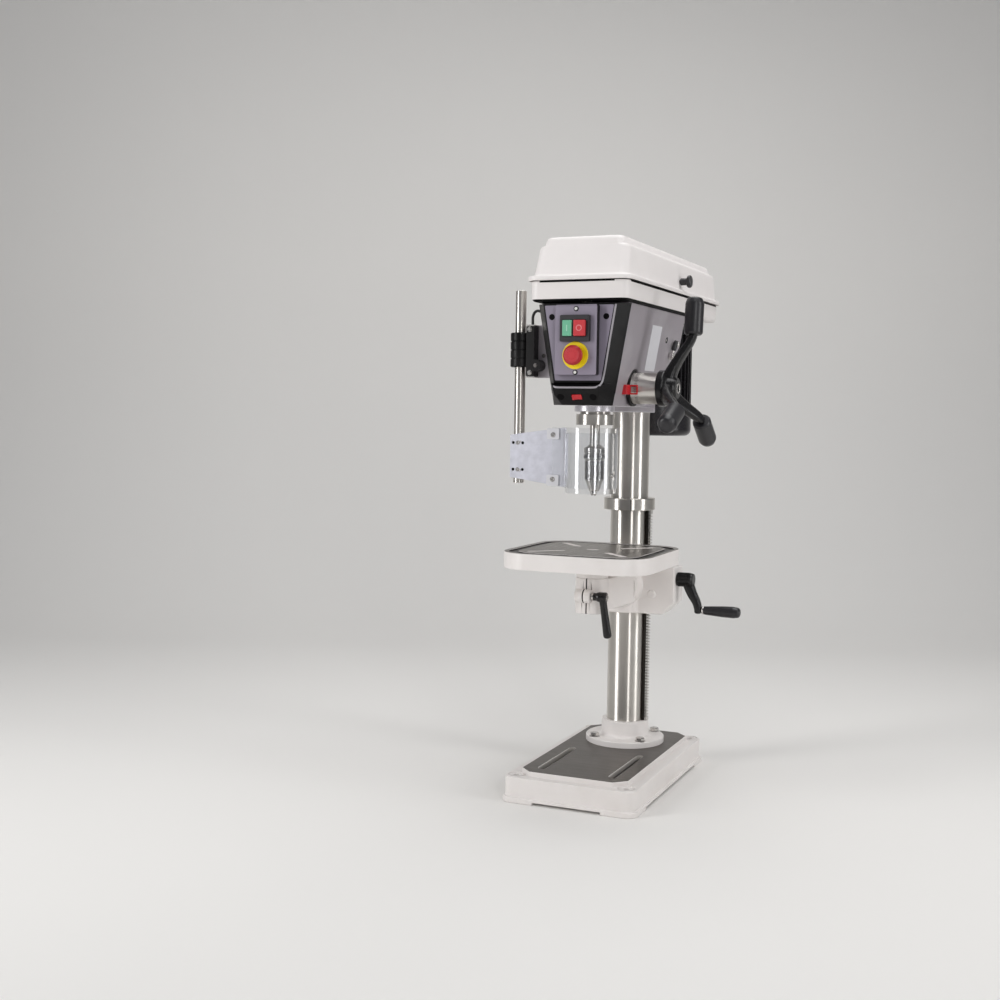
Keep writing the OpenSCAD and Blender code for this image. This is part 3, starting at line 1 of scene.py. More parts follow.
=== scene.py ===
# %% [markdown]
# A benchtop drill press, dressed over its CAD frame.
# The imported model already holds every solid, in metres, with its joints. This lesson gives each one the soft
# edges, small fittings and finishes of the real machine, and hangs each new piece on the body it moves with.

# %% Load the frame
import math

import bmesh
import bpy
from mathutils import Matrix, Vector


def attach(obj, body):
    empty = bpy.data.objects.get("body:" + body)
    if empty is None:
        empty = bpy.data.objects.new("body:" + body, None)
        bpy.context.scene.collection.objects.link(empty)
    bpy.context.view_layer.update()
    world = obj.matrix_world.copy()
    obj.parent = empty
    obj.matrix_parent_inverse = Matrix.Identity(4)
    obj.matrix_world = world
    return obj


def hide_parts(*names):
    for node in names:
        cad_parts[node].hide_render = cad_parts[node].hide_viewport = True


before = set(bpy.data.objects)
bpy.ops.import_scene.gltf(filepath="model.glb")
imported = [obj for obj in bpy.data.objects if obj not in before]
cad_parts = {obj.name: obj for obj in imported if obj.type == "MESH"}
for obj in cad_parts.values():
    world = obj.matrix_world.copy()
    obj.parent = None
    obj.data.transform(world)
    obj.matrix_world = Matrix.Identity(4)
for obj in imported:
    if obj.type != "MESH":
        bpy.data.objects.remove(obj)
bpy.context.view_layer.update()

# %% [markdown]
# The camera comes first, so that every later render can be laid beside the photograph.
# It could be placed by eye, but the column, the base corners and the table edges fix it: a fit to those
# gave the eye point, the heading, a small downward tilt and a slight roll.

# %% Camera
EYE = Vector((0.8904, -2.6064, 0.7670))
YAW, PITCH, ROLL = (math.radians(a) for a in (23.734, 3.816, 0.803))
SENSOR_WIDTH, FOCAL_LENGTH = 36.0, 47.79

ahead = Vector((-math.sin(YAW) * math.cos(PITCH), math.cos(YAW) * math.cos(PITCH), -math.sin(PITCH)))
level = Vector((math.cos(YAW), math.sin(YAW), 0.0))
steep = level.cross(ahead)
across = math.cos(ROLL) * level + math.sin(ROLL) * steep
above = math.cos(ROLL) * steep - math.sin(ROLL) * level
lens = bpy.data.cameras.new("viewpoint")
lens.sensor_width = SENSOR_WIDTH
lens.lens = FOCAL_LENGTH
viewpoint = bpy.data.objects.new("viewpoint", lens)
viewpoint.matrix_world = Matrix((across, above, -ahead)).transposed().to_4x4()
viewpoint.matrix_world.translation = EYE
bpy.context.scene.collection.objects.link(viewpoint)
bpy.context.scene.camera = viewpoint
bpy.context.scene.view_settings.view_transform = "Standard"
print("camera at", tuple(EYE))

# %% [markdown]
# A pale sheet runs along the floor and curves up behind the machine, as in a photo studio.
# One bent sheet has no corner, so no horizon line cuts the picture, and polished steel mirrors a plain room.

# %% Floor sheet
NEAR_END, BEND_START, BEND_RADIUS, SHEET_TOP, HALF_WIDTH = -9.0, 1.6, 1.4, 5.0, 9.0

heading = Vector((-math.sin(YAW), math.cos(YAW), 0.0))
bend = [math.radians(9 * k) for k in range(1, 11)]
line = [(NEAR_END, 0.0), (-1.0, 0.0), (BEND_START, 0.0)]
line += [(BEND_START + BEND_RADIUS * math.sin(a), BEND_RADIUS * (1 - math.cos(a))) for a in bend]
line += [(BEND_START + BEND_RADIUS, SHEET_TOP)]
sheet = bpy.data.meshes.new("floor_sheet")
sides = (-HALF_WIDTH, HALF_WIDTH)
rows = [[heading * d + level * side + Vector((0, 0, h)) for side in sides] for d, h in line]
sheet.from_pydata([p for row in rows for p in row], [],
                  [(2 * k, 2 * k + 1, 2 * k + 3, 2 * k + 2) for k in range(len(rows) - 1)])
sheet.polygons.foreach_set("use_smooth", [True] * len(sheet.polygons))
floor = bpy.data.objects.new("floor_sheet", sheet)
bpy.context.scene.collection.objects.link(floor)
print("floor sheet of", len(rows), "rows")

# %% [markdown]
# Four soft lamps: a tall one from the left, a narrow one beside the camera, one from the right and one
# overhead. Upright walls mirror what stands level with them, so the lamps reach almost to the floor, and the
# room itself is dim: that draws bright streaks between dark bands on polished steel and on the clear shield.

# %% Lamps
def soft_lamp(name, place, aim, size, power):
    lamp = bpy.data.lights.new(name, "AREA")
    lamp.shape = "RECTANGLE"
    lamp.size, lamp.size_y = size
    lamp.energy = power
    holder = bpy.data.objects.new(name, lamp)
    holder.location = place
    holder.rotation_euler = (Vector(aim) - Vector(place)).to_track_quat("-Z", "Y").to_euler()
    bpy.context.scene.collection.objects.link(holder)


soft_lamp("key", (-2.0, -2.1, 1.5), (0, -0.1, 1.1), (0.7, 2.7), 47)
soft_lamp("front", (1.75, -2.4, 1.45), (0, -0.1, 1.1), (0.4, 2.6), 19)
soft_lamp("side", (2.7, -0.2, 1.5), (0, 0.1, 1.1), (0.6, 2.6), 25)
soft_lamp("over", (0.2, 0.2, 2.9), (0, 0, 0.6), (2.2, 1.6), 38)
room = bpy.data.worlds.new("room")
room.use_nodes = True
room.node_tree.nodes["Background"].inputs["Color"].default_value = (0.86, 0.88, 0.92, 1)
room.node_tree.nodes["Background"].inputs["Strength"].default_value = 0.22
bpy.context.scene.world = room

# %% [markdown]
# Every finish here has three scales: slow clouds of tone over a hand's width, a fine grain that breaks the
# gloss and gives a touch of relief, and rubbed edges. The rubbed edges are wear, and where their colour is
# lighter than the finish, on the grey and black ones, they are also a painted edge highlight. The grain can be
# stretched, and then it reads as turning or grinding marks. Turned steel also spreads its reflections along
# the axis, which draws lamps out into streaks. Edges are known from an attribute that the bevels below leave
# on the mesh.

# %% How a finish is made
def tint(red, green, blue):
    """A colour as it is seen on a screen, 0 to 255, made linear."""
    return [(c / 255 / 12.92 if c < 11 else ((c / 255 + 0.055) / 1.055) ** 2.4) for c in (red, green, blue)]


def finish(name, colour, rough, metal=0.0, cloud=0.05, cloud_size=0.09, grain=0.0005, relief=0.05,
           spread=0.06, stretch=(1, 1, 1), edge_wear_and_sheen=0.0, edge_wear_and_sheen_colour=(0.6, 0.6, 0.6), **shader_values):
    mat = bpy.data.materials.new(name)
    mat.use_nodes = True
    tree = mat.node_tree
    join = tree.links.new

    def give(node, values):
        for label, value in values.items():
            node.inputs[label.replace("_", " ")].default_value = value
        return node

    def make(kind, **values):
        return give(tree.nodes.new("ShaderNode" + kind), values)

    shader = give(tree.nodes["Principled BSDF"], dict(shader_values, Metallic=metal))
    where = make("TexCoord")
    drawn = make("Mapping", Scale=stretch)
    join(where.outputs["Object"], drawn.inputs["Vector"])
    clouds = make("TexNoise", Scale=1 / cloud_size, Detail=5.0)
    join(where.outputs["Object"], clouds.inputs["Vector"])
    fine = make("TexNoise", Scale=1 / grain, Detail=3.0)
    join(drawn.outputs["Vector"], fine.inputs["Vector"])
    both = make("Math")
    both.operation = "MULTIPLY_ADD"
    both.inputs[1].default_value = 0.35
    join(fine.outputs["Fac"], both.inputs[0])
    join(clouds.outputs["Fac"], both.inputs[2])
    tone = make("ValToRGB")
    dark, light = tone.color_ramp.elements
    dark.position, light.position = 0.45, 0.9
    dark.color = [c * (1 - cloud) for c in colour] + [1]
    light.color = [min(1, c * (1 + cloud)) for c in colour] + [1]
    join(both.outputs[0], tone.inputs["Fac"])
    surface = tone.outputs["Color"]
    # Rubbed edges: wear, and where the edge colour is lighter than the finish, also a painted edge highlight.
    if edge_wear_and_sheen:
        edge = make("Attribute")
        edge.attribute_name = "edge"
        patch = make("MapRange", From_Min=0.45, From_Max=0.75, To_Max=edge_wear_and_sheen)
        join(clouds.outputs["Fac"], patch.inputs["Value"])
        wear_and_sheen_share = make("Math")
        wear_and_sheen_share.operation = "MULTIPLY"
        join(edge.outputs["Fac"], wear_and_sheen_share.inputs[0])
        join(patch.outputs["Result"], wear_and_sheen_share.inputs[1])
        over = make("Mix")
        over.data_type = "RGBA"
        join(wear_and_sheen_share.outputs[0], over.inputs["Factor"])
        join(surface, over.inputs["A"])
        over.inputs["B"].default_value = (*edge_wear_and_sheen_colour, 1)
        surface = over.outputs["Result"]
    join(surface, shader.inputs["Base Color"])
    smooth, dull = max(0.02, rough - spread), rough + spread
    gloss = make("MapRange", From_Min=0.3, From_Max=0.7, To_Min=smooth, To_Max=dull)
    join(fine.outputs["Fac"], gloss.inputs["Value"])
    join(gloss.outputs["Result"], shader.inputs["Roughness"])
    bump = make("Bump", Strength=relief, Distance=grain)
    join(fine.outputs["Fac"], bump.inputs["Height"])
    join(bump.outputs["Normal"], shader.inputs["Normal"])
    return mat


print("finishes can be made")

# %% [markdown]
# Paint and moulded blacks first. Enamel on the castings is rubbed a little at its edges; pressed sheet is
# smoother and has no wear. The blacks differ by gloss more than by tone, so each has its own roughness.

# %% Paint and black finishes
white_enamel = finish("white_enamel", tint(234, 229, 226), 0.36, grain=0.0012, relief=0.03, cloud=0.03,
                      edge_wear_and_sheen=0.35, edge_wear_and_sheen_colour=tint(206, 199, 194))
sheet_enamel = finish("sheet_enamel", tint(232, 227, 225), 0.42, grain=0.0012, relief=0.02, cloud=0.025)
# The lighter rubbed edges on head_grey are wear and also a painted edge highlight.
head_grey = finish("head_grey", tint(164, 157, 163), 0.44, metal=0.25, grain=0.0004, cloud=0.03, edge_wear_and_sheen=0.3)
# The grey of the painted highlight along the panel's rounded edge.
edge_highlight_grey = finish("edge_highlight_grey", tint(158, 154, 159), 0.40, cloud=0.04)
plate_grey = finish("plate_grey", tint(140, 132, 147), 0.38, relief=0.06, cloud=0.04)
# The lighter rubbed edges on panel_black are wear and also a painted edge highlight.
panel_black = finish("panel_black", tint(13, 12, 13), 0.36, grain=0.0006, relief=0.10, cloud=0.12,
                     edge_wear_and_sheen=0.25, edge_wear_and_sheen_colour=tint(70, 67, 67), IOR=1.28)
bezel_black = finish("bezel_black", tint(45, 43, 47), 0.40, relief=0.06, cloud=0.08)
grip_black = finish("grip_black", tint(34, 33, 36), 0.34, relief=0.10, cloud=0.12, IOR=1.50)
# The lighter rubbed edges on cast_black are wear and also a painted edge highlight.
cast_black = finish("cast_black", tint(22, 21, 22), 0.25, grain=0.0009, relief=0.10, cloud=0.15,
                    edge_wear_and_sheen=0.3, edge_wear_and_sheen_colour=tint(80, 76, 74), IOR=1.45)
motor_black = finish("motor_black", tint(30, 28, 31), 0.26, grain=0.0010, relief=0.04, cloud=0.15)
# deep_black is painted shade in holes, slits, seats, lamp wells and gaps; on the depth drum it is the printed
# scale.
deep_black = finish("deep_black", tint(9, 8, 9), 0.6, grain=0.0008, relief=0.1, cloud=0.2, IOR=1.18)
belt_rubber = finish("belt_rubber", tint(30, 29, 29), 0.62, grain=0.0007, relief=0.20, cloud=0.2)
print("finishes", len(bpy.data.materials))

# %% [markdown]
# Bare metal next. A stretched grain gives the marks of a lathe, a mill or a grinder, and its direction says
# which. The ones that look dull in a pale room are only part metal, so that they don't turn into mirrors.

# %% Metal finishes
ALONG_X, ALONG_Y = (0.03, 1, 1), (1, 0.03, 1)
TURNED_UPRIGHT, TURNED_ACROSS = (0.03, 0.03, 1), (1, 0.03, 0.03)


def metal(name, colour, rough, **values):
    """A finish that is all metal unless a share is given."""
    return finish(name, colour, rough, **dict({"metal": 1.0}, **values))


turned_steel = metal("turned_steel", tint(216, 212, 206), 0.33, grain=0.0009, relief=0.02, cloud=0.04,
                     spread=0.04, stretch=TURNED_UPRIGHT, Anisotropic=1.0, Anisotropic_Rotation=0.25)
cross_steel = metal("cross_steel", tint(212, 208, 203), 0.32, grain=0.0007, relief=0.02, cloud=0.04,
                    spread=0.04, stretch=TURNED_ACROSS, Anisotropic=1.0)
bright_steel = metal("bright_steel", tint(205, 202, 199), 0.24, grain=0.0006, relief=0.04, cloud=0.08)
dark_iron = metal("dark_iron", tint(116, 112, 110), 0.40, grain=0.0006, relief=0.06, cloud=0.12)
gutter_iron_and_rack_shade = metal("gutter_iron_and_rack_shade", tint(58, 54, 51), 0.38, grain=0.0010, relief=0.08, cloud=0.2)
milled_top = metal("milled_top", tint(128, 122, 117), 0.34, grain=0.0022, cloud=0.10, spread=0.10,
                   stretch=ALONG_Y)
ground_deck = metal("ground_deck", tint(108, 103, 99), 0.38, grain=0.0016, relief=0.03, cloud=0.08,
                    stretch=ALONG_X)
# Pale slot-wall metal: bare metal, lightened as painted light for walls that stand in shade.
slot_metal_and_light = metal("slot_metal_and_light", tint(196, 191, 185), 0.36, metal=0.3, grain=0.0010, relief=0.04, cloud=0.08)
sole_metal = metal("sole_metal", tint(214, 211, 216), 0.32, metal=0.6, grain=0.0010, relief=0.04,
                   stretch=ALONG_X)
brushed_sheet = metal("brushed_sheet", tint(202, 202, 211), 0.40, metal=0.45, grain=0.0010, cloud=0.10,
                      cloud_size=0.014, stretch=ALONG_X)
pulley_alloy = metal("pulley_alloy", tint(190, 190, 192), 0.34, grain=0.0008, stretch=TURNED_UPRIGHT)
print("finishes", len(bpy.data.materials))

# %% [markdown]
# Coloured plastic and clear sheet. The shields are walls that bend light; the flat flange of the outer one
# lies on the metal plate, so it is drawn as a faint film over it.

# %% Plastic and clear finishes
def plastic(name, colour, rough, cloud=0.05):
    return finish(name, colour, rough, grain=0.0006, relief=0.03, cloud=cloud)


def clear(name, colour, rough, **values):
    return finish(name, colour, rough, grain=0.004, relief=0.005, cloud=0.01, spread=0.02, **values)


red_plastic = plastic("red_plastic", tint(196, 36, 44), 0.30)
stop_red = plastic("stop_red", tint(168, 24, 34), 0.32, 0.06)
soft_red = plastic("soft_red", tint(196, 56, 62), 0.36)
red_mark = plastic("red_mark", tint(222, 132, 134), 0.40, 0.03)
green_plastic = plastic("green_plastic", tint(112, 184, 150), 0.34)
green_mark = plastic("green_mark", tint(168, 212, 190), 0.40, 0.03)
yellow_plastic = plastic("yellow_plastic", tint(246, 218, 24), 0.34, 0.04)
# White plastic used as the painted highlight of the box screws.
highlight_white = plastic("highlight_white", tint(232, 232, 228), 0.40, 0.03)
tab_white = finish("tab_white", tint(214, 213, 217), 0.34, grain=0.0008, relief=0.03, cloud=0.04)
clear_sheet = clear("clear_sheet", (0.93, 0.94, 0.955), 0.05, Transmission_Weight=1.0, IOR=1.58)
clear_flange = clear("clear_flange", tint(232, 234, 238), 0.12, Alpha=0.14)
pale_sheet = finish("pale_sheet", tint(234, 232, 229), 0.85, grain=0.01, relief=0.01, cloud=0.01,
                    cloud_size=1.5)
sheet.materials.append(pale_sheet)
print("finishes", len(bpy.data.materials))

# %% [markdown]
# The mesh tools. Pieces are drawn in millimetres, like the shop drawings, and scaled once at the end.
# A turned part is a profile swept round an axis, a bent part is an oval swept along a path, and a cast part
# is a copy of its CAD solid with every sharp edge rounded, which keeps it exactly where the CAD says.

# %% Tools: outlines and places
MM = 0.001
UP, RIGHT, FRONT, BACK = (0, 0, 1), (1, 0, 0), (0, -1, 0), (0, 1, 0)


def rounded(points, closed=False, steps=6):
    """A flat line of (a, b) or (a, b, radius) points, with each radius drawn as an arc."""
    out = []
    for i, point in enumerate(points):
        here = Vector(point[:2])
        radius = point[2] if len(point) > 2 else 0
        if not radius or (not closed and i in (0, len(points) - 1)):
            out.append(here)
            continue
        back = (Vector(points[i - 1][:2]) - here).normalized()
        on = (Vector(points[(i + 1) % len(points)][:2]) - here).normalized()
        half = back.angle(on) / 2
        centre = here + (back + on).normalized() * (radius / math.sin(half))
        start = here + back * (radius / math.tan(half)) - centre
        end = here + on * (radius / math.tan(half)) - centre
        first = math.atan2(start.y, start.x)
        turn = (math.atan2(end.y, end.x) - first + math.pi) % (2 * math.pi) - math.pi
        angles = [first + turn * k / steps for k in range(steps + 1)]
        out += [centre + radius * Vector((math.cos(a), math.sin(a))) for a in angles]
    return out


def oblong(left, low, right, high, radius):
    """A rectangle with round corners."""
    corners = [(left, low), (right, low), (right, high), (left, high)]
    return rounded([(x, y, radius) for x, y in corners], True)


def along(origin, direction=UP):
    """A place whose Z axis points in a direction."""
    return Matrix.Translation(origin) @ Vector(direction).to_track_quat("Z", "Y").to_matrix().to_4x4()


def upright(x, y, turn=0.0):
    """A standing plane through (x, y): x runs across, y up, and z points out, to the front at turn 0."""
    c, s = math.cos(turn), math.sin(turn)
    return Matrix(((c, 0, s, x), (s, 0, -c, y), (0, 1, 0, 0), (0, 0, 0, 1)))


print("outline tools ready")

# %% [markdown]
# A skin joins ring after ring of points. Lathe work, bars and plates are all rings, so one function closes
# them all. Blender's own cylinders could start each piece, but a profile carries the real radii at once.

# %% Tools: skins
def skin(shape, low, high):
    """Faces between two rings; a ring of one point is a pole."""
    for k in range(max(len(low), len(high))):
        corners = [low[k % len(low)], low[(k + 1) % len(low)], high[(k + 1) % len(high)], high[k % len(high)]]
        corners = list(dict.fromkeys(corners))
        if len(corners) > 2:
            shape.faces.new(corners)


def rings_to_skin(shape, rings, closed=False, cap=True):
    made = [[shape.verts.new(p) for p in ring] for ring in rings]
    if closed:
        made.append(made[0])
    for low, high in zip(made, made[1:]):
        skin(shape, low, high)
    if cap and not closed:
        for ring in (made[0], made[-1]):
            if len(ring) > 2:
                shape.faces.new(ring)


def turned(shape, profile, place, steps=96, closed=False):
    """A profile of (radius, height) points swept round the Z axis of a place."""
    turns = [2 * math.pi * k / steps for k in range(steps)]
    circle = [(math.cos(t), math.sin(t)) for t in turns]
    rings = []
    for r, h in profile:
        spots = [(r * c, r * s, h) for c, s in circle] if r > 1e-6 else [(0, 0, h)]
        rings.append([place @ Vector(spot) for spot in spots])
    rings_to_skin(shape, rings, closed, cap=False)


def slab(shape, outline, depth, place):
    """A flat outline thickened along the Z axis of a place."""
    rings_to_skin(shape, [[place @ Vector((x, y, h)) for x, y in outline] for h in (0, depth)])


def flowing(points, steps=6):
    """A smooth line through points of any size, such as (x, y, z, width, thickness)."""
    pts = [points[0]] + list(points) + [points[-1]]
    out = []
    for a, b, c, d in zip(pts, pts[1:], pts[2:], pts[3:]):
        for k in range(steps):
            t = k / steps
            out.append([0.5 * (2 * q + (r - p) * t + (2 * p - 5 * q + 4 * r - s) * t * t
                               + (3 * q - p - 3 * r + s) * t ** 3) for p, q, r, s in zip(a, b, c, d)])
    return out + [list(points[-1])]


def domed_end(end, way):
    """Three shrinking rings that close a bar's end."""
    centre, run, a, b = end
    dome = []
    for k in (1, 2, 3):
        lean = math.radians(25 * k)
        tip = centre + run * way * b.length * 0.6 * math.sin(lean)
        dome.append((tip, run, a * math.cos(lean), b * math.cos(lean)))
    return dome


def bent_bar(shape, points, side, around=24, steps=6, square=1.0):
    """A bar along (x, y, z, half width, half thickness) points, its width along the side vector.
    Its section is oval, and turns into a rounded oblong as square goes down from 1."""
    path = flowing(points, steps)
    side = Vector(side).normalized()
    rings = []
    for i, row in enumerate(path):
        behind, before = Vector(path[max(i - 1, 0)][:3]), Vector(path[min(i + 1, len(path) - 1)][:3])
        run = (before - behind).normalized()
        other = run.cross(side).normalized()
        wide = other.cross(run)
        rings.append((Vector(row[:3]), run, wide * row[3], other * row[4]))
    rings = domed_end(rings[0], -1)[::-1] + rings + domed_end(rings[-1], 1)
    turns = [2 * math.pi * k / around for k in range(around)]
    section = [[math.copysign(abs(v) ** square, v) for v in (math.cos(t), math.sin(t))] for t in turns]
    rings_to_skin(shape, [[c + a * u + b * v for u, v in section] for c, run, a, b in rings])


print("skin tools ready")

# %% [markdown]
# A soft copy starts from the CAD solid: its loose triangles are merged, flat faces are joined, and edges
# sharper than an angle are bevelled. A Bevel modifier could do the same, but here a test can leave single
# edges alone, and the new faces are marked for the rubbed-edge finish: wear, and on the grey and black
# finishes also a painted edge highlight.

# %% Tools: soft copies
def soft_copy(node, width, steps=2, angle=32, skip=None):
    """A CAD solid in millimetres with rounded edges; edges that pass the skip test stay as they are."""
    shape = bmesh.new()
    shape.from_mesh(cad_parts[node].data)
    bmesh.ops.remove_doubles(shape, verts=shape.verts, dist=2e-6)
    bmesh.ops.dissolve_limit(shape, angle_limit=math.radians(0.4), verts=shape.verts, edges=shape.edges)
    shape.transform(Matrix.Scale(1 / MM, 4))
    mark = shape.verts.layers.float.new("edge")
    shape.normal_update()
    sharp = [e for e in shape.edges if e.is_manifold and e.calc_face_angle() > math.radians(angle)
             and not (skip and all(skip(v.co) for v in e.verts))]
    made = bmesh.ops.bevel(shape, geom=sharp, offset=width, offset_type="OFFSET", segments=steps, profile=0.5,
                           affect="EDGES", clamp_overlap=False, loop_slide=True)
    for face in made["faces"]:
        for v in face.verts:
            v[mark] = 1.0
    return shape


def cut_faces(shape, point, direction):
    """Cut the faces along a plane, so that each side of it can take its own finish."""
    bmesh.ops.bisect_plane(shape, geom=shape.verts[:] + shape.edges[:] + shape.faces[:],
                           plane_co=point, plane_no=direction)


print("copy tools ready")

# %% [markdown]
# A finished piece is a mesh in metres at the origin, with its finishes, smooth shading and sharp edges, hung
# on the body that carries it. Modifiers are applied at once, so the export meets plain meshes only.

# %% Tools: finished pieces
def settle(obj):
    """Keep what the modifiers make as a plain mesh, and drop the modifiers."""
    graph = bpy.context.evaluated_depsgraph_get()
    mesh = bpy.data.meshes.new_from_object(obj.evaluated_get(graph), preserve_all_data_layers=True,
                                           depsgraph=graph)
    mesh.name = obj.name
    obj.modifiers.clear()
    obj.data = mesh


def hang(obj, body, stands_for):
    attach(obj, body)
    if stands_for:
        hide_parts(*stands_for)
    return obj


def piece(name, shape, finishes, body, slot, *stands_for, pick=None, sharp=38, wall=0.0):
    """A bmesh in millimetres becomes a piece on a body; pick chooses a finish for each face."""
    if wall == 0.0:
        bmesh.ops.recalc_face_normals(shape, faces=shape.faces)
    finishes = finishes if isinstance(finishes, (list, tuple)) else [finishes]
    if pick:
        shape.normal_update()
        for face in shape.faces:
            face.material_index = pick(face.normal, face.calc_center_median())
    mesh = bpy.data.meshes.new(name)
    shape.transform(Matrix.Scale(MM, 4))
    shape.to_mesh(mesh)
    shape.free()
    for mat in finishes:
        mesh.materials.append(mat)
    mesh.polygons.foreach_set("use_smooth", [True] * len(mesh.polygons))
    mesh.set_sharp_from_angle(angle=math.radians(sharp))
    obj = bpy.data.objects.new(name, mesh)
    bpy.context.scene.collection.objects.link(obj)
    if wall:
        thick = obj.modifiers.new("wall", "SOLIDIFY")
        thick.thickness, thick.offset, thick.use_even_offset = wall * MM, -1.0, True
    even = obj.modifiers.new("even", "WEIGHTED_NORMAL")
    even.keep_sharp = True
    settle(obj)
    return hang(obj, body, stands_for)


def turned_piece(name, corners, place, finishes, body, slot, *stands_for, steps=96, closed=False, pick=None):
    """A piece turned from one profile; a closed profile is a tube."""
    shape = bmesh.new()
    turned(shape, rounded(corners, closed), place, steps, closed)
    return piece(name, shape, finishes, body, slot, *stands_for, pick=pick)


def keep_cad(mat, *names):
    """A CAD solid whose shape is right already gets its finish."""
    for name in names:
        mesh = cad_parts[name].data
        mesh.materials.clear()
        mesh.materials.append(mat)


print("piece tools ready")

# %% [markdown]
# Bolts, screws, fins, knurls and scale marks repeat, so Geometry Nodes make them. One tree puts a fastener on
# every given point, turned to the point's own facing; the other sets bars in a ring. Each result is realised,
# given its finish and kept as a plain mesh.

# %% Tools: a tree that sets fasteners on points
def new_tree(name, inputs):
    tree = bpy.data.node_groups.new(name, "GeometryNodeTree")
    tree.interface.new_socket("Geometry", in_out="INPUT", socket_type="NodeSocketGeometry")
    for label, kind, value in inputs:
        socket = tree.interface.new_socket(label, in_out="INPUT", socket_type=kind)
        if value is not None:
            socket.default_value = value
    tree.interface.new_socket("Geometry", in_out="OUTPUT", socket_type="NodeSocketGeometry")
    return tree, tree.nodes.new("NodeGroupInput"), tree.nodes.new("NodeGroupOutput")


def plug(tree, *pairs):
    for source, target in pairs:
        tree.links.new(source, target)


def math_node(tree, operation, value=None):
    node = tree.nodes.new("ShaderNodeMath")
    node.operation = operation
    if value is not None:
        node.inputs[1].default_value = value
    return node


def set_on_points(tree, given, result, instance, points, rotation):
    """The end of both trees: instances on points, realised and given their finish."""
    place = tree.nodes.new("GeometryNodeInstanceOnPoints")
    real = tree.nodes.new("GeometryNodeRealizeInstances")
    dress = tree.nodes.new("GeometryNodeSetMaterial")
    plug(tree, (points, place.inputs["Points"]), (instance, place.inputs["Instance"]),
         (rotation, place.inputs["Rotation"]), (place.outputs["Instances"], real.inputs["Geometry"]),
         (real.outputs["Geometry"], dress.inputs["Geometry"]),
         (given.outputs["Finish"], dress.inputs["Material"]),
         (dress.outputs["Geometry"], result.inputs["Geometry"]))
    return place


def fastener_tree():
    tree, given, result = new_tree("fasteners", [
        ("Sides", "NodeSocketInt", 6), ("Head radius", "NodeSocketFloat", 0.01),
        ("Head height", "NodeSocketFloat", 0.007), ("Socket share", "NodeSocketFloat", 0.5),
        ("Socket depth", "NodeSocketFloat", -0.002), ("Washer radius", "NodeSocketFloat", 0.012),
        ("Washer height", "NodeSocketFloat", 0.001), ("Finish", "NodeSocketMaterial", None)])
    make = tree.nodes.new
    g = given.outputs
    head, washer = make("GeometryNodeMeshCylinder"), make("GeometryNodeMeshCylinder")
    washer.inputs["Vertices"].default_value = 32
    crown, rim, sink = (make("GeometryNodeExtrudeMesh") for _ in range(3))
    for node in (crown, rim, sink):
        node.inputs["Individual"].default_value = False
    rim.inputs["Offset Scale"].default_value = 0.0
    shrink, narrow = make("GeometryNodeScaleElements"), make("GeometryNodeScaleElements")
    shrink.inputs["Scale"].default_value = 0.84
    third, half = math_node(tree, "MULTIPLY", 0.3), math_node(tree, "MULTIPLY", 0.5)
    lifted = math_node(tree, "ADD")
    spot, lift = make("ShaderNodeCombineXYZ"), make("GeometryNodeTransform")
    both = make("GeometryNodeJoinGeometry")
    facing, turn = make("GeometryNodeInputNamedAttribute"), make("FunctionNodeAlignRotationToVector")
    facing.data_type = "FLOAT_VECTOR"
    facing.inputs["Name"].default_value = "facing"
    turn.axis = "Z"
    plug(tree, (g["Sides"], head.inputs["Vertices"]), (g["Head radius"], head.inputs["Radius"]),
         (g["Head height"], head.inputs["Depth"]), (g["Head height"], third.inputs[0]),
         (head.outputs["Mesh"], crown.inputs["Mesh"]), (head.outputs["Top"], crown.inputs["Selection"]),
         (third.outputs[0], crown.inputs["Offset Scale"]),
         (crown.outputs["Mesh"], shrink.inputs["Geometry"]),
         (crown.outputs["Top"], shrink.inputs["Selection"]),
         (shrink.outputs["Geometry"], rim.inputs["Mesh"]), (crown.outputs["Top"], rim.inputs["Selection"]),
         (rim.outputs["Mesh"], narrow.inputs["Geometry"]), (rim.outputs["Top"], narrow.inputs["Selection"]),
         (g["Socket share"], narrow.inputs["Scale"]), (narrow.outputs["Geometry"], sink.inputs["Mesh"]),
         (rim.outputs["Top"], sink.inputs["Selection"]), (g["Socket depth"], sink.inputs["Offset Scale"]),
         (g["Head height"], half.inputs[0]), (half.outputs[0], lifted.inputs[0]),
         (g["Washer height"], lifted.inputs[1]), (lifted.outputs[0], spot.inputs["Z"]),
         (sink.outputs["Mesh"], lift.inputs["Geometry"]),
         (spot.outputs["Vector"], lift.inputs["Translation"]),
         (g["Washer radius"], washer.inputs["Radius"]), (g["Washer height"], washer.inputs["Depth"]),
         (washer.outputs["Mesh"], both.inputs["Geometry"]),
         (lift.outputs["Geometry"], both.inputs["Geometry"]),
         (facing.outputs["Attribute"], turn.inputs["Vector"]))
    set_on_points(tree, given, result, both.outputs["Geometry"], g["Geometry"], turn.outputs["Rotation"])
    return tree


FASTENERS = fastener_tree()
print("fastener tree", len(FASTENERS.nodes), "nodes")

# %% [markdown]
# The second tree: a circle gives the points, and each point carries a bar that looks outwards. One bar in
# every so many can be longer, which turns a knurl into a scale.

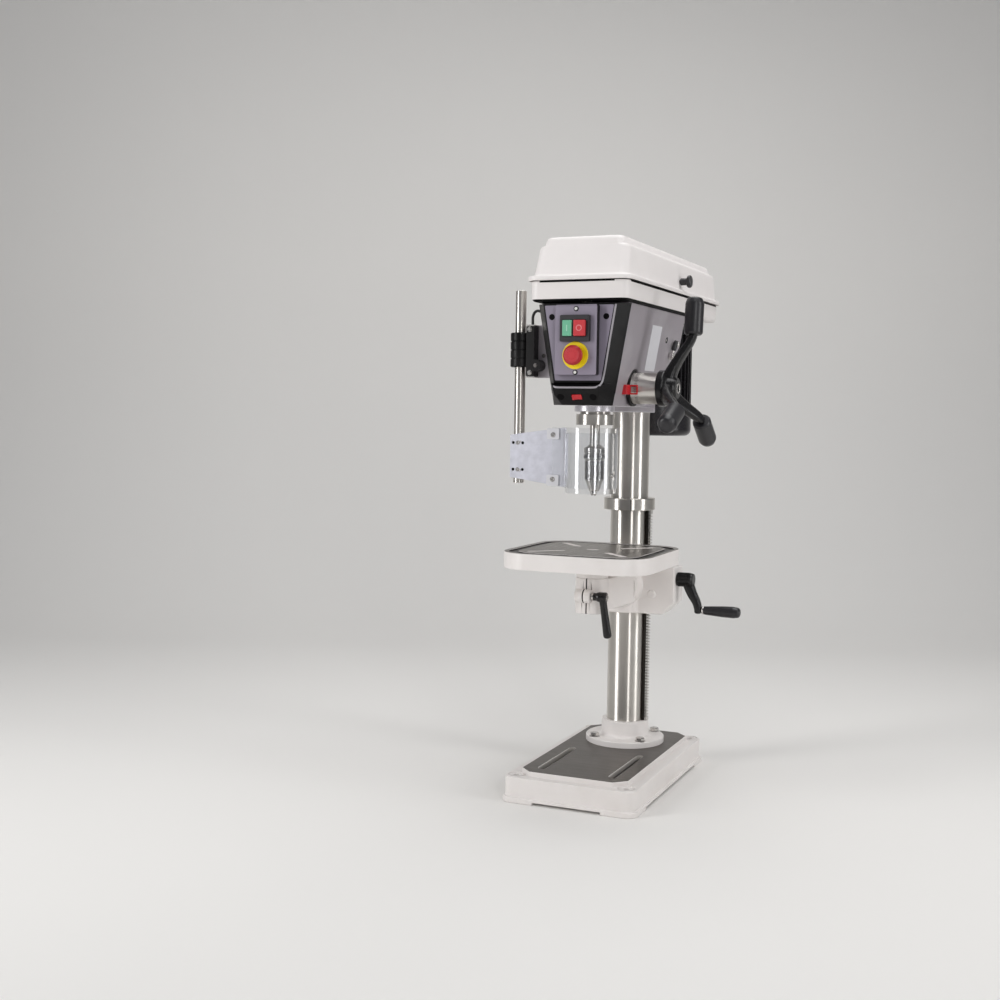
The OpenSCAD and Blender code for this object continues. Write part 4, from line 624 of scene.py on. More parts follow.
# %% Tools: a tree that sets bars in a ring
def bar_ring_tree():
    tree, given, result = new_tree("bar_ring", [
        ("Count", "NodeSocketInt", 12), ("Radius", "NodeSocketFloat", 0.05),
        ("Deep", "NodeSocketFloat", 0.01), ("Thick", "NodeSocketFloat", 0.002),
        ("Tall", "NodeSocketFloat", 0.05), ("Every", "NodeSocketInt", 1),
        ("Short share", "NodeSocketFloat", 1.0), ("Finish", "NodeSocketMaterial", None)])
    make = tree.nodes.new
    g = given.outputs
    ring, bar = make("GeometryNodeMeshCircle"), make("GeometryNodeMeshCube")
    size = make("ShaderNodeCombineXYZ")
    spot, turn = make("GeometryNodeInputPosition"), make("FunctionNodeAlignRotationToVector")
    turn.axis = "X"
    index = make("GeometryNodeInputIndex")
    left_over, is_long = math_node(tree, "MODULO"), math_node(tree, "LESS_THAN", 0.5)
    length, stretch = make("ShaderNodeMix"), make("ShaderNodeCombineXYZ")
    length.inputs["B"].default_value = 1.0
    stretch.inputs["X"].default_value = stretch.inputs["Y"].default_value = 1.0
    plug(tree, (g["Count"], ring.inputs["Vertices"]), (g["Radius"], ring.inputs["Radius"]),
         (g["Deep"], size.inputs["X"]), (g["Thick"], size.inputs["Y"]), (g["Tall"], size.inputs["Z"]),
         (size.outputs["Vector"], bar.inputs["Size"]), (spot.outputs["Position"], turn.inputs["Vector"]),
         (index.outputs["Index"], left_over.inputs[0]), (g["Every"], left_over.inputs[1]),
         (left_over.outputs[0], is_long.inputs[0]), (is_long.outputs[0], length.inputs["Factor"]),
         (g["Short share"], length.inputs["A"]), (length.outputs["Result"], stretch.inputs["Z"]))
    place = set_on_points(tree, given, result, bar.outputs["Mesh"], ring.outputs["Mesh"],
                          turn.outputs["Rotation"])
    plug(tree, (stretch.outputs["Vector"], place.inputs["Scale"]))
    return tree


BAR_RING = bar_ring_tree()
print("ring tree", len(BAR_RING.nodes), "nodes")

# %% [markdown]
# Two short functions call the trees with sizes in millimetres, so the cells below read like a parts list.
# Every screw is the small screw with some of its sizes changed.

# %% Tools: pieces from the trees
SMALL_SCREW = {"sides": 28, "head": 3.2, "height": 1.2, "socket": 0.5, "depth": -0.8, "washer": 4.2,
               "under": 0.4}
ABOUT_X, ABOUT_Y = (Matrix.Rotation(math.pi / 2, 4, axis) for axis in "YX")


def grown(name, tree, points, sizes, mat, body, slot, *stands_for, place=None):
    """Run a tree on points of (place, facing) in millimetres and keep the result as a piece."""
    mesh = bpy.data.meshes.new(name)
    mesh.from_pydata([Vector(p) * MM for p, _ in points], [], [])
    facing = mesh.attributes.new("facing", "FLOAT_VECTOR", "POINT")
    facing.data.foreach_set("vector", [c for _, way in points for c in way])
    obj = bpy.data.objects.new(name, mesh)
    bpy.context.scene.collection.objects.link(obj)
    grower = obj.modifiers.new("grow", "NODES")
    grower.node_group = tree
    values = dict(sizes, Finish=mat)
    for item in tree.interface.items_tree:
        if item.in_out == "INPUT" and item.name in values:
            grower[item.identifier] = values[item.name]
    settle(obj)
    if place is not None:
        obj.data.transform(place)
    if not obj.data.materials:
        obj.data.materials.append(mat)
    print(name, len(obj.data.polygons), "faces")
    return hang(obj, body, stands_for)


def fasteners(name, points, mat, body, slot, *stands_for, **changes):
    """Screws or bolts like the small screw, apart from the sizes given, in millimetres."""
    size = dict(SMALL_SCREW, **changes)
    grown(name, FASTENERS, points,
          {"Sides": size["sides"], "Head radius": size["head"] * MM, "Head height": size["height"] * MM,
           "Socket share": size["socket"], "Socket depth": size["depth"] * MM,
           "Washer radius": size["washer"] * MM, "Washer height": size["under"] * MM},
          mat, body, slot, *stands_for)


def bar_ring(name, mat, body, slot, centre, count, radius, bar, axis=None, every=1, short=1.0):
    """Bars of (deep, thick, tall) millimetres in a ring, upright or turned about an axis."""
    deep, thick, tall = (side * MM for side in bar)
    place = Matrix.Translation(Vector(centre) * MM)
    grown(name, BAR_RING, [((0, 0, 0), UP)],
          {"Count": count, "Radius": radius * MM, "Deep": deep, "Thick": thick, "Tall": tall, "Every": every,
           "Short share": short}, mat, body, slot, place=place @ axis if axis else place)


print("tree tools ready")

# %% [markdown]
# The base is a hollow casting with a machined deck. A copy of its CAD solid with rounded edges keeps the
# feet, the slots and the bench holes; the deck's top faces show bare metal, the slot walls a pale metal that
# is partly their bare metal and partly painted light on walls that stand in shade, and the rest is white
# enamel.

# %% Base
DECK_Z = 60
SLOT_INNER, SLOT_OUTER = 55, 92


def at_slot_end(p):
    """The rear ends of the slots, too tight for a rounded edge."""
    return SLOT_INNER < abs(p.x) < SLOT_OUTER and -25 < p.y < 8 and p.z > 10


def deck_or_paint(normal, centre):
    in_slot = SLOT_INNER < abs(centre.x) < SLOT_OUTER and -205 < centre.y < 5 and 12 < centre.z < DECK_Z - 0.5
    # Slot walls take the pale slot metal: bare metal, lightened as painted light where the slots are in shade.
    if in_slot and abs(normal.z) < 0.6:
        return 2
    return int(normal.z > 0.8 and centre.z > DECK_Z - 0.8)


base = piece("base_casting", soft_copy("base", 1.8, 3, skip=at_slot_end),
             [white_enamel, ground_deck, slot_metal_and_light], "frame", "white_paint", "base", pick=deck_or_paint)
print("base", len(base.data.polygons), "faces")

# %% [markdown]
# The column stands in a flange with a cast fillet. Both are turned from profiles: a profile with real radii
# gives the long soft highlight that a cylinder with a hard corner can't. The bolts are the first use of the
# fastener tree.

# %% Column, flange and bolts
COLUMN_Y, COLUMN_R, COLUMN_IN, COLUMN_TOP = 110, 40, 34, 968
COLUMN_BORE = COLUMN_R + 0.05
FLANGE_R, FLANGE_TOP, SOCKET_R, SOCKET_TOP = 84, 73, 50.5, 108
BOLT_CIRCLE = 72
COLUMN = along((0, COLUMN_Y, 0))

turned_piece("column_foot", [(COLUMN_BORE, DECK_Z), (FLANGE_R, DECK_Z, 0.8), (FLANGE_R, FLANGE_TOP, 2.5),
                             (SOCKET_R, FLANGE_TOP, 7), (SOCKET_R, SOCKET_TOP, 2), (COLUMN_BORE, SOCKET_TOP)],
             COLUMN, white_enamel, "frame", "white_paint", "column_flange", closed=True)
turns = [math.radians(45 + 90 * k) for k in range(4)]
spots = [((BOLT_CIRCLE * math.cos(a), COLUMN_Y + BOLT_CIRCLE * math.sin(a), FLANGE_TOP), UP) for a in turns]
fasteners("foot_bolts", spots, bright_steel, "frame", "dark_steel", "flange_bolts",
          sides=6, head=10, height=5, depth=0.0, washer=11.5, under=1.8)
turned_piece("column_tube", [(COLUMN_IN, DECK_Z), (COLUMN_R, DECK_Z, 1), (COLUMN_R, COLUMN_TOP, 1.5),
                             (COLUMN_IN, COLUMN_TOP)],
             COLUMN, turned_steel, "frame", "polished_steel", "column", steps=128, closed=True)
print("column dressed")

# %% [markdown]
# The rack stands beside the column and turns round it with the table; a ring holds its upper end. The teeth
# are in the CAD solid already: a cut along their roots lets the tips take bright steel as a painted highlight
# and the body dark iron as painted shade.

# %% Rack and its ring
RING_R, RING_LOW, RING_TOP, RACK_R = 54.5, 562, 587, 51.1
SPLIT_TURN, SPLIT_HALF = 0.36, 0.6
TOOTH_ROOT = 45.9

turned_piece("rack_collar", [(RACK_R, RING_LOW), (RING_R, RING_LOW, 1.2), (RING_R, RING_TOP, 2),
                             (COLUMN_BORE, RING_TOP), (COLUMN_BORE, RING_LOW + 10), (RACK_R, RING_LOW + 10)],
             COLUMN, turned_steel, "frame", "polished_steel", "rack_ring", closed=True)
# The split in the ring is a thin black strip on its face: painted shade of the gap.
shape = bmesh.new()
split_r = RING_R - 0.1
slab(shape, oblong(-SPLIT_HALF, RING_LOW + 0.4, SPLIT_HALF, RING_TOP - 1, 0), 0.3,
     upright(split_r * math.sin(SPLIT_TURN), COLUMN_Y - split_r * math.cos(SPLIT_TURN), SPLIT_TURN))
piece("collar_split", shape, deep_black, "frame", "black_plastic")
shape = soft_copy("rack", 0.2, 1)
cut_faces(shape, (TOOTH_ROOT, 0, 0), RIGHT)
# The bright tooth tips are a painted highlight; the dark body is painted shade.
piece("rack_bar", shape, [gutter_iron_and_rack_shade, bright_steel], "rack", "dark_steel", "rack",
      pick=lambda normal, centre: int(centre.x > TOOTH_ROOT))
print("rack dressed")

# %% [markdown]
# The square table is a casting with a machined top, a coolant gutter and four diagonal slots. It tilts on an
# arm and swivels on its stem. Both castings are soft copies; the table's upper faces are bare metal, and the
# walls of the clamp slits in the castings are deep black as painted shade.

# %% Table and its arm
SPINDLE_Y = -118
FIELD_STRAIGHT, FIELD_CORNER, FIELD_SHARE = 85, 45, 0.945


def milled_or_paint(normal, centre):
    reach = max(abs(centre.x), abs(centre.y - SPINDLE_Y))
    if 491 < centre.z < 494.2 and reach < 142 and normal.z > -0.5:
        return 2
    return int(normal.z > 0.7 and centre.z > 490)


def in_slit(p):
    return abs(p.x) < 1.6 and not -100 < p.y < 140


# Slit walls take deep black: painted shade inside the clamp slits.
def slit_shade_or_paint(normal, centre):
    return int(in_slit(centre) and abs(normal.x) > 0.5)


shape = soft_copy("table", 1.0, 2)
for v in shape.verts:
    from_middle = v.co.y - SPINDLE_Y
    past = Vector((max(abs(v.co.x) - FIELD_STRAIGHT, 0), max(abs(from_middle) - FIELD_STRAIGHT, 0)))
    if v.co.z > 491.4 and abs(past.length - FIELD_CORNER) < 2.5:
        v.co.x, v.co.y = v.co.x * FIELD_SHARE, SPINDLE_Y + from_middle * FIELD_SHARE
piece("table_casting", shape, [white_enamel, milled_top, gutter_iron_and_rack_shade], "table", "white_paint", "table",
      pick=milled_or_paint)
piece("table_arm_casting", soft_copy("table_arm", 2.5, 3, skip=in_slit), [white_enamel, deep_black],
      "table_arm", "white_paint", "table_arm", pick=slit_shade_or_paint)
keep_cad(bright_steel, "tilt_bolt")
print("table dressed")

# %% [markdown]
# A clamp lever is a turned hub on a screw with a tapered bar. The bar is an oval swept along a short path, so
# it swells into the hub and ends in a round tip; the bright screw in the hub comes from the fastener tree.

# %% Table bracket and clamp levers
LEVER_OUT, HUB_LENGTH = 14.4, 32

piece("bracket_casting", soft_copy("table_bracket", 3.0, 3, skip=in_slit), [white_enamel, deep_black],
      "bracket", "white_paint", "table_bracket", pick=slit_shade_or_paint)
turned_piece("gear_cap", [(0, -0.6), (9, -0.6), (9, 1.4, 1), (6, 2.4, 3), (0, 2.6)],
             along((68, 65, 386.6), FRONT), white_enamel, "bracket", "white_paint", steps=48)
keep_cad(bright_steel, "lift_gear")


def clamp_lever(name, body, way, y, z, screw_in):
    """Hub along X, bar hanging down; way is 1 to the right and -1 to the left."""
    shape = bmesh.new()
    hub = along((way * LEVER_OUT, y, z), (way, 0, 0))
    turned(shape, rounded([(0, 0), (7.5, 0, 0.6), (7.5, 11, 1), (9.0, 13, 1), (10, 17, 2),
                           (10, HUB_LENGTH, 2.5), (0, HUB_LENGTH)]), hub, 48)
    drop = [(0, 0, 8, 8), (2.4, 15, 6.8, 7), (6.6, 42, 6, 7.4), (11.0, 70, 5.6, 8.2), (12.0, 76, 5.4, 8)]
    x = way * (LEVER_OUT + 23)
    bent_bar(shape, [(x + way * out, y, z - down, a, b) for out, down, a, b in drop], BACK, 32, square=0.75)
    turned(shape, rounded([(0, -screw_in), (5, -screw_in, 1), (5, 1), (0, 1)]), hub, 32)
    piece(name, shape, cast_black, body, "plate_iron", body)
    turned_piece(name + "_ring", [(7.4, 1), (8.2, 1, 0.3), (8.2, 5.5, 0.3), (7.4, 5.5)], hub, bright_steel,
                 body, "polished_steel", steps=48, closed=True)
    fasteners(name + "_screw", [((way * (LEVER_OUT + HUB_LENGTH), y, z), (way, 0, 0))], bright_steel, body,
              "polished_steel", sides=24, head=5.2, socket=0.55, depth=-0.9, washer=6.2, under=0.3)


clamp_lever("table_clamp", "table_lever", 1, -161, 406.5, 34)
clamp_lever("bracket_clamp", "bracket_lever", -1, 184, 395.5, 30)
print("levers dressed")

# %% [markdown]
# The hand crank lifts the table through a worm. Its arm is a flat bar with a slow bend, its grip a turned
# handle that spins on a pin, so the grip rides on its own body.

# %% Crank
CRANK_Y, CRANK_Z, CRANK_THROW = 88, 420, 62
GRIP_START = 171.4

shape = bmesh.new()
turned(shape, rounded([(0, 50), (6.4, 50), (6.4, 103), (8, 103), (8, 116.4), (14.4, 116.4, 1), (14.4, 147, 2),
                       (12.5, 152, 2), (0, 152)]), along((0, CRANK_Y, CRANK_Z), RIGHT), 64)
drop = [(139, 3, 8, 11), (142, 13, 8, 11.5), (149, 29, 7.8, 10.5), (158, 45, 7.6, 9), (162, 58, 7.6, 8.2),
        (162.4, 66, 7.2, 7.6)]
bent_bar(shape, [(x, CRANK_Y, CRANK_Z - down, a, b) for x, down, a, b in drop], BACK, 32, square=0.7)
turned(shape, rounded([(0, 160), (4, 160), (4, 251, 1), (0, 251)]),
       along((0, CRANK_Y, CRANK_Z - CRANK_THROW), RIGHT), 32)
piece("crank_arm", shape, cast_black, "crank", "plate_iron", "crank")
bar_ring("crank_knurl", cast_black, "crank", "plate_iron", (131.2, CRANK_Y, CRANK_Z), 44, 14.3,
         (1.3, 1.2, 24), ABOUT_X)
grip_place = along((GRIP_START, CRANK_Y, CRANK_Z - CRANK_THROW), RIGHT)
turned_piece("crank_handle", [(4.05, 3.6), (8.4, 3.6, 0.3), (9, 8, 6), (11.5, 44, 60), (12, 66, 14),
                              (10.4, 77, 4), (6.4, 80, 2), (4.05, 80)],
             grip_place, grip_black, "crank_grip", "black_plastic", "crank_grip", steps=64, closed=True)
turned_piece("grip_ferrule", [(4.05, 0), (8.2, 0, 0.4), (8.7, 1.6, 0.4), (8.4, 3.6), (4.05, 3.6)],
             grip_place, bright_steel, "crank_grip", "polished_steel", steps=64, closed=True)
print("crank dressed")

# %% [markdown]
# The head is one grey casting with sloping sides. It is a soft copy with broad rounds; the black panel in
# front is a moulding with crisper edges, and carries a grey face plate and the control box.

# %% Head and front panel
SOLE_TOP, FACE_Y, FACE_LOW, FACE_TOP = 781.2, -220, 828, 971
FACE_LOW_HALF, FACE_TOP_HALF = 46.5, 70
FACE_HOLE_X, FACE_HOLE_Z = 55, 949
FACE = upright(0, FACE_Y)


def at_chin(p):
    """The rear corners and the middle of the chin, where the panel's edges are too close for a round."""
    return 784 < p.z < 812 and (p.y > -195 or (abs(p.x) < 43 and p.y < -205))


piece("head_casting", soft_copy("head", 1.6, 3), [head_grey, sole_metal], "frame", "grey_paint", "head",
      pick=lambda normal, centre: int(centre.z < SOLE_TOP))
piece("panel_moulding", soft_copy("front_panel", 1.4, 3, skip=at_chin), panel_black, "frame", "black_plastic",
      "front_panel")
shape = bmesh.new()
slab(shape, rounded([(-FACE_LOW_HALF, FACE_LOW, 2), (FACE_LOW_HALF, FACE_LOW, 2),
                     (FACE_TOP_HALF, FACE_TOP, 2), (-FACE_TOP_HALF, FACE_TOP, 2)], True), 0.7, FACE)
piece("face_plate", shape, plate_grey, "frame", "grey_paint")
# The face plate's two holes are black discs: painted shade inside the holes.
shape = bmesh.new()
for x in (-FACE_HOLE_X, FACE_HOLE_X):
    turned(shape, [(0, 0.75), (5.8, 0.75), (5.8, 0.4), (0, 0.4)],
           FACE @ Matrix.Translation((x, FACE_HOLE_Z, 0.2)), 32)
piece("face_holes", shape, deep_black, "frame", "black_plastic")
# A light grey bead along the panel's right and lower front edge: painted highlight of the moulding's rounded
# edge.
edge = [(73.2, -219.6, FACE_TOP), (68, -219.8, 938), (60, -219.8, 888), (53.6, -219.8, 848),
        (50.2, -220.6, 829), (48.6, -226, 821.5), (45, -232.6, 816.6), (38, -235, 814.6),
        (20, -235.2, 814.4), (0, -235.2, 814.4)]
edge += [(-x, y, z) for x, y, z in edge[-2:-5:-1]]
shape = bmesh.new()
bent_bar(shape, [(*p, 1.7, 1.9) for p in edge], BACK, 16, 5)
piece("panel_edge_highlight", shape, edge_highlight_grey, "frame", "grey_paint")
print("head dressed")

# %% [markdown]
# The side of the head carries a blank plate, a bolt, and a small hole with a screw. They lie on the slope, so
# one matrix gives that plane: its X runs to the back, its Y up the slope and its Z outwards.

# %% Fittings on the head's sloping side
SIDE_OUT = Vector((0.985, 0, -0.173))
SIDE = Matrix(((0, 0.173, 0.985, 76.3), (1, 0, 0, 0), (0, 0.985, -0.173, 899.5), (0, 0, 0, 1)))
HOLE_X, HOLE_Y, HOLE_Z = 80, 92, 920.5

shape = bmesh.new()
slab(shape, oblong(-21, -46.5, 44, 46.5, 2), 0.6, SIDE)
piece("side_plate", shape, tab_white, "frame", "polished_steel")
turned_piece("side_bolt", [(0, -0.5), (6, -0.5), (6, 1.6, 0.6), (5.2, 3.4, 1.8), (0, 4.6)],
             along((79.2, 178, 916.4), SIDE_OUT), bright_steel, "frame", "polished_steel", steps=40)
# The hole is a black disc round the screw: painted shade inside the hole.
turned_piece("side_hole", [(0, 0.25), (6.5, 0.25), (6.5, -0.2), (0, -0.2)],
             along((HOLE_X, HOLE_Y, HOLE_Z), SIDE_OUT), deep_black, "frame", "black_plastic", steps=32)
turned_piece("side_screw", [(0, -0.2), (3.2, -0.2), (3.2, 0.9, 0.4), (0, 1.2)],
             along((HOLE_X, HOLE_Y - 3.2, HOLE_Z), SIDE_OUT), bright_steel, "frame", "polished_steel",
             steps=32)
print("side dressed")

# %% [markdown]
# The controls: a box with a grey face, a framed pair of push buttons, a mushroom stop on its yellow ring and
# a rocker for the lamps in the chin. Marks on the buttons are the plain bar and ring found on any switch, and
# each rides on its button. One function makes both, because only the mark differs.

# %% Control box and push buttons
BOX_Y, BUTTON_Z = -236, 926

piece("control_case", soft_copy("control_box", 1.2, 3), [panel_black, plate_grey], "frame", "box_plastic",
      "control_box", pick=lambda normal, centre: int(normal.y < -0.6 and centre.y < -235))
piece("switch_frame", soft_copy("switch_bezel", 1.0, 2), [panel_black, bezel_black], "frame", "black_plastic",
      "switch_bezel", pick=lambda normal, centre: int(normal.y < -0.6 and centre.y < -243))


def push_button(name, x, front, mat, mark_mat, slot, draw_mark):
    body = name + "_button"
    piece(name + "_cap", soft_copy(body, 1.5, 3), mat, body, slot, body)
    shape = bmesh.new()
    draw_mark(shape, upright(x, front) @ Matrix.Translation((0, BUTTON_Z, 0)))
    piece(name + "_mark", shape, mark_mat, body, slot)


def bar_mark(shape, spot):
    slab(shape, oblong(-1, -6, 1, 6, 0.6), 0.25, spot)


def ring_mark(shape, spot):
    turned(shape, [(4.2, 0), (6, 0), (6, 0.25), (4.2, 0.25)], spot, 48, True)


push_button("start", -14, -248, green_plastic, green_mark, "green_plastic", bar_mark)
push_button("stop", 11, -250, soft_red, red_mark, "red_plastic", ring_mark)
print("buttons dressed")

# %% [markdown]
# The mushroom stop is turned from one profile, with a fine groove round its face, and sinks when it is hit;
# the yellow ring under it is fixed. Ticks on the face come from the ring tree.

# %% Mushroom stop and rocker
STOP_Z, STOP_R = 875, 19
STOP = along((0, BOX_Y, STOP_Z), FRONT)

turned_piece("stop_collar", [(11.4, 0), (26, 0, 0.3), (26, 2, 0.8), (13, 2, 0.5), (11.4, 1.4)],
             STOP, yellow_plastic, "frame", "yellow_plastic", "stop_ring", closed=True)
turned_piece("stop_cap", [(0, -10), (11, -10, 0.5), (11, 7, 0.6), (16, 8, 0.8), (STOP_R, 11, 2),
                          (STOP_R, 17, 3), (14.4, 20.6, 3), (13.4, 20.9, 0.3), (13, 20.4, 0.3),
                          (12.4, 20.8, 0.3), (0, 21)],
             STOP, [stop_red, soft_red], "stop_mushroom", "red_plastic", "stop_mushroom",
             pick=lambda normal, centre: int(centre.y < -256.3 and normal.y < -0.9))
bar_ring("stop_ticks", stop_red, "stop_mushroom", "red_plastic", (0, -256.7, STOP_Z), 12, 8.2,
         (3.6, 1.0, 0.4), ABOUT_Y)
piece("rocker_cap", soft_copy("light_rocker", 0.7, 2), red_plastic, "light_rocker", "red_plastic",
      "light_rocker")
print("stop and rocker dressed")

# %% [markdown]
# Two screws hold the control box, each head white as a painted highlight in a black ring of painted shade.
# Two small work lamps sit flush in the chin, turned about an axis that points forward and down.

# %% Screws and lamps of the panel
CHIN_OUT = Vector((0, -0.84, -0.542))
LAMP_X, LAMP_Y, LAMP_Z = 33, -224, 797
BOX_SCREW_ROWS = (963, 843)

box_spots = [((0, BOX_Y, z), FRONT) for z in BOX_SCREW_ROWS]
# Black rings: painted shade of the screw seats.
fasteners("box_screw_shade_rings", box_spots, deep_black, "frame", "black_plastic", head=4.8, height=0.3,
          washer=5.0)
# White heads: painted highlight on the screws.
fasteners("box_screws", box_spots, highlight_white, "frame", "polished_steel", head=2.9, washer=3.0)
# The lamps are drawn deep black and dull: painted shade of their wells in the chin.
shape = bmesh.new()
for x in (-LAMP_X, LAMP_X):
    turned(shape, rounded([(0, -5.8), (6.4, -5.8), (6.4, 0.6), (7, 0.6), (7, 1.5, 0.4), (5.6, 1.7, 0.5),
                           (0, 1.3)]), along((x, LAMP_Y, LAMP_Z), CHIN_OUT), 48)
piece("chin_lamps", shape, deep_black, "frame", "clear_plastic")
print("panel fittings set")

# %% [markdown]
# The belt cover's lower half is a pressed tub, a soft copy of its solid. Where it lies over the head, its
# underside is deep black as the painted shadow of the gap, so the faces are cut there. A dark strip along the
# seam to the lid is painted shade of the gap there, and a wire clip hangs under the front edge.

# %% Belt tub
SHADE_END, SEAL_Z = 300, 1014.2


def at_tub_foot(p):
    """The tub's lower edge is round in the CAD already."""
    return p.z < 991 and (abs(p.x) > 78 or p.y < -210 or p.y > 410)


shape = soft_copy("belt_tub", 0.8, 2, skip=at_tub_foot)
cut_faces(shape, (0, SHADE_END, 0), BACK)
# Underside faces over the head take deep black: painted shadow of the gap between tub and head.
piece("tub_pressing", shape, [sheet_enamel, deep_black], "frame", "sheet_steel", "belt_tub",
      pick=lambda normal, centre: int(normal.z < -0.3 and centre.z < 986 and centre.y < SHADE_END))
# Dark strips along the seam to the lid: painted shade of the gap between tub and lid.
gap_shade_strips = [(-77, -232.4, 74, -230), (96.9, -210, 99.4, 412), (-99.4, -210, -96.9, -84), (-76, 431, 76, 433.4)]
shape = bmesh.new()
for gap_shade_strip in gap_shade_strips:
    slab(shape, oblong(*gap_shade_strip, 0), 3.4, Matrix.Translation((0, 0, SEAL_Z)))
piece("seam_gap_shade_strip", shape, deep_black, "frame", "black_plastic")
wire = [(6, -222.6, 977.6), (11, -224, 975.4), (16, -224, 976.6), (21, -224, 975.2), (26, -222.6, 977.6)]
shape = bmesh.new()
bent_bar(shape, [(*p, 1.4, 0.7) for p in wire], BACK, 12, 5)
piece("tub_clip", shape, bright_steel, "frame", "polished_steel")
print("tub dressed")

# %% [markdown]
# The lid could be cut from a block, but a pressing has long soft corners, so it is lofted: one rounded
# outline for each height, closed on top, then given its wall by Solidify. It hinges on two leaves at the
# left, and a black knob lifts it at the right.

# %% Lid
LID_LOW, LID_TOP, LID_WALL = 1018, 1104, 2.4
HINGE_X, KNOB_Y, KNOB_Z = -114, 130, 1045


def lid_level(z, half, front, back, corner):
    """A ring of points at one height, from half the width, the front, the back and the corner radius."""
    outline = [(-half, front, corner), (half, front, corner), (half, back, corner), (-half, back, corner)]
    return [Vector((x, y, z)) for x, y in rounded(outline, True, 10)]


def body_level(z):
    """One height of the lid's sloping walls."""
    rise = z - LID_LOW
    return z, 97 - rise * 0.0806, -230 + rise * 0.3488, 431 - rise * 0.0484, 18


levels = [(LID_LOW, 106, -239, 440, 25), (1024, 106, -239, 440, 25), (1026, 105.3, -238.3, 439.3, 24.4),
          (1027, 103, -236, 437, 23), (1027.5, 100, -232.4, 434.2, 21), (1028.8, 97.4, -228.4, 431.8, 19.2)]
levels += [body_level(z) for z in (1031, 1044, 1056, 1068, 1078)]
levels += [(1081.6, 91.6, -207.9, 427.7, 17.8), (1084.2, 90.2, -207.0, 426.2, 17),
           (1085.6, 87.6, -206.4, 423.8, 16), (1086.1, 84.6, -206.1, 421.2, 15),
           (1087.2, 82.4, -205.7, 419.4, 14.4), (1090, 81.2, -204.7, 418.4, 14),
           (1096, 79.8, -202.6, 417.2, 13.6), (1100, 78.4, -200.8, 415.8, 13),
           (1102.4, 76, -198, 413.4, 12), (1103.6, 73, -195, 410.4, 11), (LID_TOP, 69, -191, 406.4, 9)]
shape = bmesh.new()
rings_to_skin(shape, [lid_level(*row) for row in levels], cap=False)
shape.faces.new([v for v in shape.verts if v.co.z > LID_TOP - 0.1])
bmesh.ops.recalc_face_normals(shape, faces=shape.faces)
piece("lid_pressing", shape, sheet_enamel, "lid", "sheet_steel", "lid", wall=LID_WALL, sharp=50)
shape = bmesh.new()
for y in (-57.5, 307.5):
    turned(shape, rounded([(3.05, 0), (6, 0, 0.6), (6, 24, 0.6), (3.05, 24)], True),
           along((HINGE_X, y, LID_LOW), BACK), 32, True)
    slab(shape, oblong(HINGE_X, y, HINGE_X + 11, y + 24, 0), 4.4, Matrix.Translation((0, 0, LID_LOW + 1.4)))
piece("lid_leaves", shape, sheet_enamel, "lid", "sheet_steel")
turned_piece("lid_pull", [(0, 84), (4, 84), (4, 97), (7.5, 97, 0.8), (7.5, 110, 1.5), (12, 112, 1.5),
                          (13, 114, 1.2), (13, 118, 1.5), (10.5, 120, 1), (0, 119.2)],
             along((0, KNOB_Y, KNOB_Z), RIGHT), grip_black, "lid", "black_plastic", "lid_knob", steps=64)
keep_cad(bright_steel, "hinge_pin")
print("lid dressed")

# %% [markdown]
# Under the lid: three stepped pulleys and two belts. Their CAD shapes are right, so they only take a finish.

# %% Belt drive
keep_cad(pulley_alloy, "spindle_pulley", "idler_pulley", "motor_pulley")
keep_cad(belt_rubber, "spindle_belt", "motor_belt")
print("drive dressed")

# %% [markdown]
# The motor hangs behind the column: a smooth lower bell, a ribbed barrel and a flat top under the sliding
# plate. The barrel and bell are turned, and the fins come from the ring tree, in the same place as the CAD's.

# %% Motor
MOTOR_Y, BELL_R, BARREL_R, CAP_R = 300, 75, 62.4, 72
MOTOR_LOW, BELL_TOP, BARREL_TOP, MOTOR_TOP = 718, 791, 943, 953

turned_piece("motor_shell", [(0, MOTOR_LOW), (BELL_R, MOTOR_LOW, 14), (BELL_R, BELL_TOP - 3, 1.5),
                             (BELL_R - 2, BELL_TOP, 1), (BARREL_R, BELL_TOP), (BARREL_R, BARREL_TOP),
                             (CAP_R, BARREL_TOP, 1), (CAP_R, MOTOR_TOP, 1.5), (0, MOTOR_TOP)],
             along((0, MOTOR_Y, 0)), motor_black, "motor", "motor_black", "motor_body")
bar_ring("motor_fins", motor_black, "motor", "motor_black", (0, MOTOR_Y, (BELL_TOP + BARREL_TOP) / 2), 36,
         68.0, (12.5, 3.0, 154))
piece("motor_saddle", soft_copy("motor_plate", 1.2, 2), cast_black, "motor", "plate_iron", "motor_plate")
print("motor dressed")

# %% [markdown]
# Quill, spindle and chuck share one axis. They could be soft copies, but turned profiles carry their small
# chamfers exactly; the chuck's sleeve gets its knurl from the ring tree.

# %% Quill, spindle and chuck
SPINDLE = along((0, SPINDLE_Y, 0))
SPINDLE_R, SPINDLE_LOW, SPINDLE_TOP = 10, 679, 1060
CORE_R, SLEEVE_R, COLLAR_R = 17, 18.3, 21
SLEEVE_LOW, SLEEVE_TOP, CHUCK_TOP = 632, 685.4, 703

